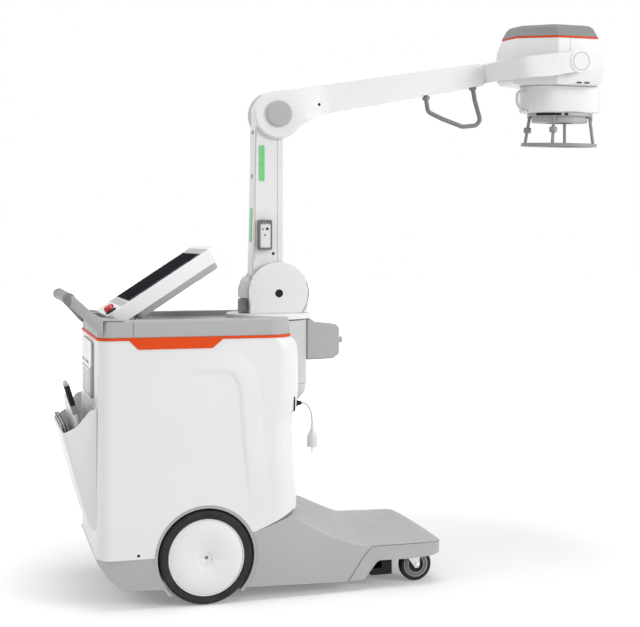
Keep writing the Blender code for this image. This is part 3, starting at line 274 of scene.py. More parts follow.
def lit_strip(name, colour, glow):
    """A translucent light strip that glows a little, with soft clouds in its colour."""
    made = Surface(name, 0.3)
    tone = made.clouded(made.noise(55, 2.0), colour, 0.9, 1.12)
    made.colour(tone)
    made.link(tone, made.shader.inputs["Emission Color"])
    made.shader.inputs["Emission Strength"].default_value = glow
    made.rough(made.spread(made.noise(200, 2.0), 0.3, 0.7, 0.24, 0.38))
    made.bump(made.noise(700, 2.0), 0.06, 0.0002)
    return made.material


def screen_glass(name):
    """A dark glass screen that is switched off, with faint smears and a painted reflection: a pale blue line near
    one edge.
    """
    made = Surface(name, 0.12)
    clouds = made.spread(made.noise(6, 2.0), 0.3, 0.7, 0, 1)
    tone = made.mix(clouds, (0.004, 0.0045, 0.006), (0.008, 0.009, 0.012))
    # A painted reflection: a pale blue line of light along the near edge, broken here and there
    painted_reflection = made.spread(made.axis("Y"), -0.140, -0.118, 1, 0)
    breaks = made.spread(made.noise(38, 2.0, (1, 0.2, 1)), 0.40, 0.56, 0, 1)
    painted_reflection = made.math("MULTIPLY", painted_reflection, breaks)
    tone = made.mix(made.math("MULTIPLY", painted_reflection, 0.6), tone, (0.15, 0.16, 0.30))
    made.colour(tone)
    made.rough(made.spread(made.noise(24, 5.0, (1, 2.4, 1)), 0.35, 0.75, 0.08, 0.2))
    made.shader.inputs["IOR"].default_value = 1.004
    return made.material


def plug_finish(name, colour, pin_top):
    """Pale plug with bright pins: below the height pin_top it is nickel."""
    made = Surface(name, 0.45)
    body = made.clouded(made.noise(30, 3.0), colour, 0.95, 1.04)
    pins = made.spread(made.axis("Z"), pin_top - 0.0004, pin_top + 0.0004, 1, 0)
    made.colour(made.mix(pins, body, (0.66, 0.65, 0.62)))
    made.link(pins, made.shader.inputs["Metallic"])
    made.rough(made.spread(made.noise(150, 3.0), 0.3, 0.7, 0.36, 0.52))
    made.bump(made.noise(1100, 2.0), 0.1, 0.0002)
    return made.material


def make_finishes():
    """The finish of each material slot, and two more for seams."""
    plug_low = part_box("mains_plug")[0].z
    pin_length = 0.0195
    table = {
        "white_cover": moulded("white_cover", (0.79, 0.79, 0.79), 0.40, coat=0.12, dust=0.05, variation=0.02),
        "grey_cover": moulded("grey_cover", (0.42, 0.42, 0.422), 0.50, grain=0.16, dust=0.08),
        "light_grey_cover": moulded("light_grey_cover", (0.56, 0.56, 0.562), 0.46, grain=0.14),
        "bumper": moulded("bumper", (0.43, 0.43, 0.432), 0.55, grain=0.2, variation=0.05, dust=0.1),
        "black_steel": moulded("black_steel", (0.014, 0.014, 0.015), 0.5, grain=0.2, variation=0.15,
                               gloss=0.15),
        "orange_trim": moulded("orange_trim", (0.74, 0.066, 0.003), 0.50, grain=0.06, gloss=0.25),
        "plate_white": moulded("plate_white", (0.74, 0.74, 0.73), 0.40, grain=0.06),
        "plate_grey": moulded("plate_grey", (0.45, 0.45, 0.46), 0.45, grain=0.1),
        "black_plastic": moulded("black_plastic", (0.015, 0.015, 0.016), 0.48, grain=0.25, variation=0.15,
                                 gloss=0.12),
        "cord_grey": moulded("cord_grey", (0.60, 0.60, 0.58), 0.55, grain=0.1, variation=0.05),
        "plug_white": plug_finish("plug_white", (0.68, 0.68, 0.66), plug_low + pin_length),
        "steel": metal("steel", (0.60, 0.60, 0.61), 0.30, (1, 14, 1)),
        "tyre": rubber("tyre", (0.024, 0.024, 0.025), tread=True),
        "wheel_white": moulded("wheel_white", (0.80, 0.80, 0.80), 0.45, grain=0.1, variation=0.02, dust=0.04),
        "caster_steel": metal("caster_steel", (0.74, 0.74, 0.75), 0.28, (1, 1, 6), spangle=0.3),
        "caster_tyre": rubber("caster_tyre", (0.016, 0.016, 0.017)),
        "arm_white": moulded("arm_white", (0.78, 0.78, 0.78), 0.38, coat=0.12, variation=0.02),
        "status_light": lit_strip("status_light", (0.15, 0.52, 0.19), 0.12),
        "remote_grey": moulded("remote_grey", (0.58, 0.58, 0.58), 0.45, grain=0.12),
        "handle_grey": moulded("handle_grey", (0.20, 0.20, 0.205), 0.55, grain=0.2, variation=0.06),
        "cap_grey": moulded("cap_grey", (0.235, 0.235, 0.24), 0.50, grain=0.15),
        "spacer_grey": moulded("spacer_grey", (0.28, 0.28, 0.29), 0.48, grain=0.12),
        "monitor_white": moulded("monitor_white", (0.86, 0.86, 0.86), 0.40, coat=0.1, variation=0.02),
        "screen_glass": screen_glass("screen_glass"),
        "stop_red": moulded("stop_red", (0.60, 0.015, 0.02), 0.32, grain=0.05, coat=0.4),
    }
    # Second finishes that take their slot from the ones above
    table["seam"] = moulded("seam_shadow", (0.16, 0.16, 0.165), 0.7, grain=0.1, variation=0.1)
    table["soft_seam"] = moulded("soft_seam", (0.42, 0.42, 0.42), 0.6, grain=0.1, variation=0.05)
    return table


PAINT = make_finishes()


# Mesh helpers

def arc(centre_a, centre_b, radius, first_deg, last_deg, steps):
    """Points along an arc, both ends included."""
    points = []
    for step in range(steps + 1):
        angle = math.radians(first_deg + (last_deg - first_deg) * step / steps)
        points.append((centre_a + radius * math.cos(angle), centre_b + radius * math.sin(angle)))
    return points


def rounded_box(low_a, low_b, high_a, high_b, radius, steps=5):
    """Outline of a rectangle with round corners."""
    left, right = low_a + radius, high_a - radius
    below, above = low_b + radius, high_b - radius
    outline = []
    for quarter, (a, b) in enumerate(((right, below), (right, above), (left, above), (left, below))):
        first = 90 * (quarter - 1)
        outline += arc(a, b, radius, first, first + 90, steps)
    return outline


def spot(a, b, height, along):
    """The point at a height along one axis, with a and b on the other two."""
    if along == "X":
        return (height, a, b)
    if along == "Y":
        return (a, height, b)
    return (a, b, height)


def bridge(bm, lower, upper):
    """Faces between two rings of points, either of which may be a single point."""
    count = max(len(lower), len(upper))
    for index in range(count):
        after = (index + 1) % count
        if len(lower) == 1:
            bm.faces.new((lower[0], upper[after], upper[index]))
        elif len(upper) == 1:
            bm.faces.new((lower[index], lower[after], upper[0]))
        else:
            bm.faces.new((lower[index], lower[after], upper[after], upper[index]))


def finished(bm, centre=(0, 0, 0)):
    """The body with its faces turned outward, moved to its centre."""
    bmesh.ops.recalc_face_normals(bm, faces=bm.faces[:])
    bmesh.ops.translate(bm, verts=bm.verts[:], vec=centre)
    return bm


def loft(rings):
    """A closed body through rings of equally many points, with flat ends."""
    bm = bmesh.new()
    rows = [[bm.verts.new(point) for point in ring] for ring in rings]
    for lower, upper in zip(rows, rows[1:]):
        bridge(bm, lower, upper)
    bm.faces.new(rows[0])
    bm.faces.new(rows[-1])
    return finished(bm)


def prism(outline, low, high, along="Y"):
    """A closed body with one outline all the way."""
    return loft([[spot(a, b, height, along) for a, b in outline] for height in (low, high)])


def hoop(outer, inner, low, high, along="X"):
    """A flat frame between two outlines of equally many points."""
    bm = bmesh.new()
    rows = []
    for outline, height in ((outer, low), (outer, high), (inner, high), (inner, low)):
        rows.append([bm.verts.new(spot(a, b, height, along)) for a, b in outline])
    for lower, upper in zip(rows, rows[1:] + rows[:1]):
        bridge(bm, lower, upper)
    return finished(bm)


def turned(profile, along="Z", centre=(0, 0, 0), segments=48):
    """A turned body with closed ends. The profile is (radius, height) along its axis."""
    bm = bmesh.new()
    rows = []
    for radius, height in profile:
        if radius == 0:
            rows.append([bm.verts.new(spot(0, 0, height, along))])
            continue
        circle = arc(0, 0, radius, 0, 360, segments)[:-1]
        rows.append([bm.verts.new(spot(a, b, height, along)) for a, b in circle])
    for lower, upper in zip(rows, rows[1:]):
        bridge(bm, lower, upper)
    for row in (rows[0], rows[-1]):
        if len(row) > 1:
            bm.faces.new(row)
    return finished(bm, centre)


def both_sides(profile, x, z, segments):
    """Two turned bodies across the machine. The profile is (radius, distance from the middle plane)."""
    return [turned([(radius, sign * aside) for radius, aside in profile], "Y", (x, 0, z), segments)
            for sign in (-1, 1)]


def ring_body(profile, along="Z", centre=(0, 0, 0), segments=64):
    """A turned ring whose closed profile of (radius, height) stays off the axis."""
    bm = bmesh.new()
    rows = []
    for a, b in arc(0, 0, 1, 0, 360, segments)[:-1]:
        rows.append([bm.verts.new(spot(r * a, r * b, h, along)) for r, h in profile])
    for row, following in zip(rows, rows[1:] + rows[:1]):
        bridge(bm, row, following)
    return finished(bm, centre)


def tube(points, radius, sides=8):
    """A round bar along points, with flat ends."""
    points = [Vector(point) for point in points]
    rings = []
    side = None
    for index, point in enumerate(points):
        ahead = (points[min(index + 1, len(points) - 1)] - points[max(index - 1, 0)]).normalized()
        if side is None:
            side = ahead.orthogonal().normalized()
        side = (side - ahead * side.dot(ahead)).normalized()
        up = ahead.cross(side)
        rings.append([point + radius * (side * a + up * b) for a, b in arc(0, 0, 1, 0, 360, sides)[:-1]])
    return loft(rings)


def curved(points, per_span=6):
    """A smooth curve through points."""
    points = [Vector(point) for point in points]
    padded = [2 * points[0] - points[1]] + points + [2 * points[-1] - points[-2]]
    path = []
    for index in range(1, len(padded) - 2):
        p0, p1, p2, p3 = padded[index - 1:index + 3]
        for step in range(per_span):
            t = step / per_span
            path.append(0.5 * ((2 * p1) + (p2 - p0) * t + (2 * p0 - 5 * p1 + 4 * p2 - p3) * t * t
                               + (3 * p1 - p0 - 3 * p2 + p3) * t ** 3))
    path.append(points[-1])
    return path


def join(*parts):
    """One mesh of several closed bodies."""
    whole = bmesh.new()
    for part in parts:
        mesh = bpy.data.meshes.new("part")
        part.to_mesh(mesh)
        part.free()
        whole.from_mesh(mesh)
        bpy.data.meshes.remove(mesh)
    return whole


def mirrored(bm):
    """The same body on the machine's other side."""
    bmesh.ops.scale(bm, verts=bm.verts[:], vec=(1, -1, 1))
    bmesh.ops.reverse_faces(bm, faces=bm.faces[:])
    return bm


def soften(obj, width, segments=3, angle_deg=30):
    """Rounds the edges that are sharper than an angle."""
    bevel = obj.modifiers.new("edges", "BEVEL")
    bevel.width = width
    bevel.segments = segments
    bevel.limit_method = "ANGLE"
    bevel.angle_limit = math.radians(angle_deg)
    obj.modifiers.new("normals", "WEIGHTED_NORMAL").keep_sharp = True


def make_smooth_shading():
    """A node group that drops a mesh's stored normals and shades all its faces smooth."""
    tree = bpy.data.node_groups.new("smooth_shading", "GeometryNodeTree")
    for direction in ("INPUT", "OUTPUT"):
        tree.interface.new_socket("Geometry", in_out=direction, socket_type="NodeSocketGeometry")
    kinds = ("NodeGroupInput", "GeometryNodeRemoveAttribute", "GeometryNodeSetShadeSmooth", "NodeGroupOutput")
    steps = [tree.nodes.new(kind) for kind in kinds]
    steps[1].inputs["Name"].default_value = "custom_normal"
    for before, after in zip(steps, steps[1:]):
        tree.links.new(before.outputs["Geometry"], after.inputs["Geometry"])
    return tree


def smooth_node(node, width, shading):
    """Joins a node's triangles into whole faces, then rounds its edges or keeps them crisp."""
    node.modifiers.new("shading", "NODES").node_group = shading
    node.modifiers.new("weld", "WELD").merge_threshold = WELD_DISTANCE
    flat = node.modifiers.new("flat_faces", "DECIMATE")
    flat.decimate_type = "DISSOLVE"
    flat.angle_limit = math.radians(FLAT_DEG)
    if width > 0:
        soften(node, width)
    else:
        node.modifiers.new("crisp", "EDGE_SPLIT").split_angle = math.radians(NODE_SHARP_DEG)


def piece(name, bm, body, slot, paint=None, place=None, bevel=0.0, replaces=()):
    """A piece modelled in its body's frame, or in the frame given by place."""
    bmesh.ops.transform(bm, matrix=FRAMES[body] if place is None else place, verts=bm.verts[:])
    mesh = bpy.data.meshes.new(name)
    bm.to_mesh(mesh)
    bm.free()
    mesh.shade_smooth()
    mesh.set_sharp_from_angle(angle=math.radians(PIECE_SHARP_DEG))
    mesh.materials.append(PAINT[paint or slot])
    obj = bpy.data.objects.new(name, mesh)
    bpy.context.scene.collection.objects.link(obj)
    if bevel > 0:
        soften(obj, bevel, 2)
    if replaces:
        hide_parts(*replaces)
    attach(obj, body)
    return obj


# Stage

def make_camera():
    data = bpy.data.cameras.new("camera")
    data.lens = CAMERA_LENS
    data.sensor_width = 36.0
    data.shift_y = CAMERA_SHIFT_Y
    camera = bpy.data.objects.new("camera", data)
    bpy.context.scene.collection.objects.link(camera)
    camera.location = CAMERA_PLACE
    camera.rotation_euler = (math.radians(90), 0, math.radians(-CAMERA_YAW_DEG))
    bpy.context.scene.camera = camera


def make_lamp(name, place, target, size, power):
    data = bpy.data.lights.new(name, "AREA")
    data.shape = "DISK"
    data.size = size
    data.energy = power
    lamp = bpy.data.objects.new(name, data)
    bpy.context.scene.collection.objects.link(lamp)
    lamp.location = place
    lamp.rotation_euler = (Vector(target) - Vector(place)).to_track_quat("-Z", "Y").to_euler()


def background_rays(tree):
    """1 for the rays that see the background: from the camera, from gloss and through glass."""
    path = tree.nodes.new("ShaderNodeLightPath")
    seen = path.outputs["Is Camera Ray"]
    for kind in ("Is Glossy Ray", "Is Transmission Ray"):
        either = tree.nodes.new("ShaderNodeMath")
        either.operation = "MAXIMUM"
        tree.links.new(seen, either.inputs[0])
        tree.links.new(path.outputs[kind], either.inputs[1])
        seen = either.outputs[0]
    return seen


def make_world():
    """An even pale world that lights at a lower level than it shows."""
    world = bpy.data.worlds.new("studio")
    bpy.context.scene.world = world
    world.use_nodes = True
    tree = world.node_tree
    background = tree.nodes["Background"]
    background.inputs["Color"].default_value = (1, 1, 1, 1)
    strength = tree.nodes.new("ShaderNodeMapRange")
    strength.inputs["To Min"].default_value = WORLD_LIGHT
    strength.inputs["To Max"].default_value = 1.0
    tree.links.new(background_rays(tree), strength.inputs["Value"])
    tree.links.new(strength.outputs["Result"], background.inputs["Strength"])


def make_floor():
    """Pale floor. The background's share rises with distance, so that only the shadow shows."""
    half, drop = 30.0, 0.0005
    mesh = bpy.data.meshes.new("floor")
    corners = [(-half, -half, 0), (half, -half, 0), (half, half, 0), (-half, half, 0)]
    mesh.from_pydata(corners, [], [(0, 1, 2, 3)])
    floor = bpy.data.objects.new("floor", mesh)
    bpy.context.scene.collection.objects.link(floor)
    floor.location = (0, 0, -drop)
    made = Surface("floor", 0.9)
    clouds = made.spread(made.noise(0.8, 2.0), 0.3, 0.7, 0, 1)
    made.colour(made.mix(clouds, (FLOOR_COLOUR * 0.99,) * 3, (FLOOR_COLOUR,) * 3))
    distance = made.node("ShaderNodeVectorMath", operation="LENGTH")
    made.link(made.coords, distance.inputs[0])
    glow = made.spread(distance.outputs["Value"], 0.9, 3.2, FLOOR_GLOW_NEAR, FLOOR_GLOW_FAR)
    made.shader.inputs["Emission Color"].default_value = (1, 1, 1, 1)
    strength = made.math("MULTIPLY", glow, background_rays(made.tree))
    made.link(strength, made.shader.inputs["Emission Strength"])
    mesh.materials.append(made.material)


# Cord

def make_cord():
    """The mains lead: it leaves the gland on the body's front and hangs down to its plug."""
    start = Vector((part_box("cable_gland")[1].x + 0.0003, -0.186, 0.618))
    radius = 0.0035
    route = curved([start, start + Vector((0.011, 0, -0.0014)), start + Vector((0.0255, 0, -0.0145)),
                    start + Vector((0.0352, 0, -0.039)), start + Vector((0.038, 0, -0.0717))], 6)
    data = bpy.data.curves.new("mains_lead", "CURVE")
    data.dimensions = "3D"
    data.bevel_depth = radius
    data.bevel_resolution = 4
    data.use_fill_caps = True
    spline = data.splines.new("POLY")
    spline.points.add(len(route) - 1)
    for target, point in zip(spline.points, route):
        target.co = (*point, 1.0)
    data.materials.append(PAINT["cord_grey"])
    lead = bpy.data.objects.new("mains_lead", data)
    bpy.context.scene.collection.objects.link(lead)
    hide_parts("power_cord")
    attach(lead, "root")


# Carried-over nodes

def dress_nodes():
    """Every node gets its slot's finish and smooth shading. The nodes listed here also get softer edges, and the
    rest keep crisp ones.
    """
    edges = {"body_shell": 0.003, "top_deck": 0.0015, "trim_band": 0.0008, "front_bumper": 0.0012,
             "detector_bin": 0.001, "shoulder_yoke": 0.0025, "tube_housing": 0.002, "tube_cap": 0.0015,
             "right_monitor_bracket": 0.001, "left_monitor_bracket": 0.001, "caster_frame": 0.001,
             "side_light": 0.0004, "rear_light": 0.0004}
    shading = make_smooth_shading()
    for row in frame["record"]["subparts"]:
        node = nodes[row["node"]]
        for slot in node.material_slots:
            slot.material = PAINT[row["material_slot"]]
        smooth_node(node, edges.get(row["node"], 0.0), shading)


# Trolley

def make_crease():
    """The soft contour pressed into each side of the white cover, from the middle to the front."""
    run = [(-0.120, 0.7375), (-0.053, 0.7390), (0.010, 0.7405), (0.052, 0.7400), (0.080, 0.7310),
           (0.098, 0.7080), (0.108, 0.6760), (0.115, 0.5900), (0.1215, 0.4995), (0.1314, 0.4188),
           (0.1400, 0.3577), (0.1511, 0.3118)]
    path = curved([(x, 0, z) for x, z in run], 5)
    count = len(path)
    # Across the crease: how far to its outer side, how proud. It rises within 15 mm and then fades out
    section = ((-0.0070, -0.0006), (-0.0050, 0.0001), (-0.0010, 0.0013), (0.0035, 0.0031), (0.0070, 0.0040),
               (0.0120, 0.0043), (0.0260, 0.0034), (0.0450, 0.0016), (0.0660, 0.0001), (0.0690, -0.0006),
               (0.0690, -0.0012), (-0.0070, -0.0012))
    rings = []
    for index, point in enumerate(path):
        ahead = (path[min(index + 1, count - 1)] - path[max(index - 1, 0)]).normalized()
        outward = Vector((-ahead.z, 0, ahead.x))
        fade = min(1.0, 4.5 * min(index, count - 1 - index) / count)
        ring = []
        for aside, proud in section:
            height = proud * fade if proud > 0 else proud
            place = point + outward * aside
            ring.append((place.x, -(BODY_SIDE_Y + height - (1 - fade) * 0.0003), place.z))
        rings.append(ring)
    piece("right_body_crease", loft(rings), "root", "white_cover")
    piece("left_body_crease", mirrored(loft(rings)), "root", "white_cover")


def make_body_trim():
    """Side screws, deck seams and front latches."""
    screw = [(0, 0.2846), (0.0046, 0.2846), (0.0046, 0.2856), (0.0038, 0.2859), (0.0020, 0.2855), (0, 0.2855)]
    piece("side_screws", join(*both_sides(screw, -0.216, 0.170, 20)), "root", "black_plastic")
    # Seam where the deck's side meets the handle's foot
    seam_x = -0.2323
    seam = ((0.2840, 0.8560), (0.2812, 0.9000), (0.2765, 0.9052))
    seams = [tube([(seam_x, sign * y, z) for y, z in seam], 0.0008) for sign in (-1, 1)]
    piece("deck_seams", join(*seams), "root", "grey_cover", "seam")
    # Latch on the rounded front corner
    corner_x, corner_y, corner_r, turn = 0.2305, 0.2, 0.085, math.radians(38)
    latches = []
    for sign in (-1, 1):
        outward = Vector((math.cos(turn), sign * math.sin(turn), 0))
        centre = Vector((corner_x, sign * corner_y, 0.624)) + outward * (corner_r - 0.0006)
        across = Vector((-outward.y, outward.x, 0))
        turned_out = Matrix((across, Vector((0, 0, 1)), outward)).transposed().to_4x4()
        place = Matrix.Translation(centre) @ turned_out
        latch = prism(rounded_box(-0.0055, -0.025, 0.0055, 0.025, 0.004, 4), 0.0, 0.0018, "Z")
        bmesh.ops.transform(latch, matrix=place, verts=latch.verts[:])
        latches.append(latch)
    piece("front_latches", join(*latches), "root", "black_plastic", bevel=0.0006)


def make_platform_trim():
    """Seam between platform and bumper, arch liners, the caster plates' bolts and their cross brace."""
    half = PLATFORM_HALF_Y
    nose = [(0.112, 0.0), (0.032, 0.003), (0.012, 0.009), (0.004, 0.020), (0.0, 0.060)]
    side = [(0.4765, -0.2702, 0.034), (0.530, -0.2665, 0.110), (0.562, -half, 0.1423)]
    side += [(0.812 - back, narrow - half, 0.1423) for back, narrow in nose]
    run = side + [(x, -y, z) for x, y, z in reversed(side)]
    piece("bumper_seam", tube(run, 0.0011), "root", "bumper", "seam")
    first_deg, last_deg, steps = -45, 225, 64
    liner = arc(0, WHEEL_CENTRE_Z, 0.1657, first_deg, last_deg, steps)
    liner += arc(0, WHEEL_CENTRE_Z, 0.1560, last_deg, first_deg, steps)
    liners = [prism(liner, sign * half, sign * 0.2840) for sign in (-1, 1)]
    piece("arch_liners", join(*liners), "root", "grey_cover")
    bolt = [(0, 0.1335), (0.0048, 0.1335), (0.0055, 0.1345), (0.0055, 0.1372), (0, 0.1372)]
    bolts = [turned(bolt, "Z", (x, y, 0), 6) for x in (0.690, 0.752) for y in (-0.220, -0.160, 0.160, 0.220)]
    piece("caster_bolts", join(*bolts), "root", "caster_steel")
    brace = prism(rounded_box(0.627, 0.044, 0.674, 0.120, 0.004, 3), -0.112, 0.112)
    piece("caster_brace", brace, "root", "black_steel", bevel=0.0015)


def make_column_trim():
    """The seam above the column's lower cap, and the cap of the parking bracket's pin."""
    ring = [(0.272 + a, b, 0.6708) for a, b in arc(0, 0, 0.1298, -68, 68, 30)]
    piece("column_seam", tube(ring, 0.0008), "root", "light_grey_cover", "seam")
    pin = turned([(0, 0.531), (0.0095, 0.531), (0.0100, 0.5335), (0.0085, 0.5362), (0.0, 0.5366)],
                 "X", (0, 0, 0.811), 28)
    piece("bracket_pin_cap", pin, "root", "black_plastic")


def make_handle_grip():
    """Dark sleeve on the cross bar, with two shallow grooves at each end, and the bar's end caps."""
    half, radius = 0.186, 0.0188
    profile = [(0.0175, -half), (radius - 0.0006, -half), (radius, -half + 0.001)]
    for groove in (-half + 0.010, -half + 0.016):
        profile += [(radius, groove), (radius - 0.0008, groove + 0.0006), (radius - 0.0008, groove + 0.0016),
                    (radius, groove + 0.0022)]
    profile += [(r, -y) for r, y in reversed(profile)]
    sleeve = ring_body(profile, "Y", (-0.4232, 0, PUSH_BAR_Z), 40)
    piece("push_grip", sleeve, "root", "grey_cover", "cap_grey")
    cap = [(0, 0.2145), (0.0192, 0.2145), (0.0196, 0.2170), (0.0180, 0.2188), (0.0090, 0.2196), (0, 0.2198)]
    piece("push_bar_caps", join(*both_sides(cap, -0.4240, PUSH_BAR_Z, 40)), "root", "handle_grey")


def make_rear_trim():
    """The rear panel's white upper cover with its slots, the light bar and the grey recess."""
    face = REAR_FACE_X
    cover = prism(rounded_box(-0.1508, 0.7440, 0.1508, 0.8328, 0.016), face - 0.0016, face + 0.002, "X")
    piece("rear_cover", cover, "root", "white_cover", bevel=0.0008)
    slots = [prism(rounded_box(low, 0.7560, high, 0.7660, 0.004), face - 0.0020, face, "X")
             for low, high in ((-0.088, 0.018), (0.048, 0.120))]
    piece("rear_slots", join(*slots), "root", "black_plastic", "cap_grey")
    bar = prism(rounded_box(-0.140, 0.7330, 0.140, 0.7410, 0.0035), face - 0.0040, face + 0.002, "X")
    piece("rear_light_bar", bar, "root", "plate_white", bevel=0.0008)
    recess = prism(rounded_box(-0.134, 0.660, 0.134, 0.7270, 0.016), face - 0.0008, face + 0.002, "X")
    piece("rear_recess", recess, "root", "light_grey_cover", bevel=0.0004)


def make_detector_trim():
    """The big plate's carrying loop and corner block, and the black rims of the spare one."""
    def plate_frame(x, z, lean_deg):
        """The frame of a plate that leans back, with its lower edge at x and z."""
        turn = Matrix.Rotation(math.radians(-lean_deg), 4, "Y")
        return FRAMES["root"] @ Matrix.Translation((x, 0, z)) @ turn

    edge_y, far_y, thick = -0.187, -0.105, 0.0155
    place = plate_frame(-0.4165, 0.632, 17.0)
    loop = hoop(rounded_box(edge_y, -0.020, far_y, 0.070, 0.012),
                rounded_box(edge_y + 0.013, 0.006, far_y - 0.013, 0.058, 0.007), 0, thick, "X")
    piece("detector_loop", loop, "root", "black_plastic", place=place, bevel=0.002)
    top = prism(rounded_box(edge_y - 0.0004, 0.0660, far_y + 0.0004, 0.0770, 0.004), 0.0010, thick - 0.0015,
                "X")
    piece("detector_loop_top", top, "root", "plate_grey", place=place, bevel=0.001)
    block = prism(rounded_box(edge_y - 0.0016, -0.0275, edge_y + 0.030, 0.0010, 0.003), -0.0012,
                  thick + 0.0012, "X")
    piece("detector_corner", block, "root", "cap_grey", place=place, bevel=0.001)
    height, half, spare_thick = 0.235, 0.165, 0.010
    proud = 0.0012
    outer = rounded_box(-half - proud, height * 0.60, half + proud, height + proud, 0.019)
    inner = rounded_box(-half + 0.004, height * 0.60 + 0.005, half - 0.004, height - 0.004, 0.014)
    rims = [hoop(outer, inner, low, low + spare_thick * 0.30, "X")
            for low in (-0.0006, spare_thick * 0.70 + 0.0006)]
    piece("spare_rims", join(*rims), "root", "black_plastic", place=plate_frame(-0.3840, 0.345, 14.5))


# Wheels

def make_wheel_trim():
    """Raised rings and the hub screw on each rear wheel's disc."""
    for side, sign in (("right", -1), ("left", 1)):
        body = side + "_wheel"
        disc_face, skin = 0.021, 0.0004
        face = disc_face + skin
        rim = [(0.1188, face - 0.002), (0.1188, face - 0.0002), (0.1200, face + 0.0004), (0.1218, face),
               (0.1230, face - 0.0025), (0.1225, face - 0.004)]
        line = [(0.0205, face - 0.001), (0.0205, face + 0.0004), (0.0220, face + 0.0007), (0.0240, face),
                (0.0240, face - 0.001)]
        rings = [ring_body([(r, sign * h) for r, h in profile], "Y", segments=96) for profile in (rim, line)]
        piece(side + "_wheel_rings", join(*rings), body, "wheel_white")
        hub = [(0, 0.0185), (0.0050, 0.0185), (0.0050, 0.0212), (0.0040, 0.0222), (0.0018, 0.0222),
               (0, 0.0214)]
        piece(side + "_hub_screw", turned([(r, sign * h) for r, h in hub], "Y", segments=24), body,
              "wheel_white", "seam")


def make_caster_trim():
    """Rings on both faces of the caster wheels, pale and dark in turn, and the axles' nuts."""
    for side in ("right", "left"):
        roller = side + "_caster_roller"
        # colour, inner and outer radius, height of the face above the wheel's middle
        bands = (("plate_grey", 0.0395, 0.0430, 0.0130), ("seam", 0.0290, 0.0390, 0.0152),
                 ("plate_grey", 0.0262, 0.0284, 0.0166), ("black_plastic", 0.0190, 0.0258, 0.0172))
        made = {}
        for colour, inner, outer, face in bands:
            for sign in (-1, 1):
                profile = [(inner, sign * (face - 0.006)), (inner, sign * (face - 0.0004)),
                           (inner + 0.0006, sign * face), (outer - 0.0006, sign * (face - 0.0003)),
                           (outer, sign * (face - 0.0012)), (outer, sign * (face - 0.006))]
                made.setdefault(colour, []).append(ring_body(profile, "Y", segments=56))
        for colour, slot in (("plate_grey", "plate_grey"), ("seam", "caster_tyre"),
                             ("black_plastic", "black_plastic")):
            piece("%s_caster_%s_rings" % (side, colour), join(*made[colour]), roller, slot, colour)
        nut = [(0, 0.0210), (0.0085, 0.0210), (0.0085, 0.0255), (0.0050, 0.0272), (0, 0.0272)]
        piece(side + "_caster_nuts", join(*both_sides(nut, 0.016, 0, 6)), side + "_caster", "caster_steel")


# Arm

def make_arm_trim():
    """Seams, screw caps and sensor windows of the lower arm, and the yoke's pins and rim lines."""
    body = "lower_arm"
    shift = Matrix.Translation((FRAMES["root"].translation.x, 0, 0))
    pivot_x = FRAMES[body].translation.x - FRAMES["root"].translation.x
    pivot_z = FRAMES[body].translation.z
    lines = []
    for y in (-LOWER_ARM_SIDE_Y - 0.0001, LOWER_ARM_SIDE_Y + 0.0001):
        lines.append(tube([(0.2140, y, 1.088), (0.2155, y, 1.300), (0.2170, y, 1.540)], 0.0009))
        lines.append(tube([(0.2940, y, 1.084), (0.2940, y, 1.507)], 0.0009))
    piece("lower_arm_seams", join(*lines), body, "arm_white", "soft_seam", place=shift)
    cap = [(0, 0.0372), (0.0052, 0.0372), (0.0052, 0.0384), (0.0042, 0.0390), (0, 0.0384)]
    piece("side_screw_caps", join(*both_sides(cap, 0.2792, 1.1137, 24)), body, "black_plastic", place=shift)
    # Two sensor windows on the arm's rear face, above and below the light strip
    windows = []
    for z in (1.5310, 1.3790):
        rear_x = 0.2045 + (z - 1.018) * 0.0235
        profile = [(0, rear_x + 0.002), (0.0080, rear_x + 0.002), (0.0080, rear_x - 0.0008),
                   (0.0060, rear_x - 0.0018), (0, rear_x - 0.0016)]
        windows.append(turned(profile, "X", (0, 0, z), 24))
    piece("rear_windows", join(*windows), body, "cap_grey", "seam", place=shift)
    pin = [(0, 0.0645), (0.0138, 0.0645), (0.0138, 0.0654), (0.0128, 0.0660), (0.0105, 0.0656),
           (0.0060, 0.0653), (0, 0.0653)]
    pins = both_sides(pin, pivot_x, pivot_z, 32)
    piece("shoulder_pins", join(*pins), "arm_base", "black_plastic", place=shift)
    rim = arc(pivot_x, pivot_z, 0.1045, -46, 22, 24)
    rims = [tube([(x, y, z) for x, z in rim], 0.0014) for y in (-0.0648, 0.0648)]
    piece("yoke_rim_lines", join(*rims), "arm_base", "arm_white", "seam", place=shift)


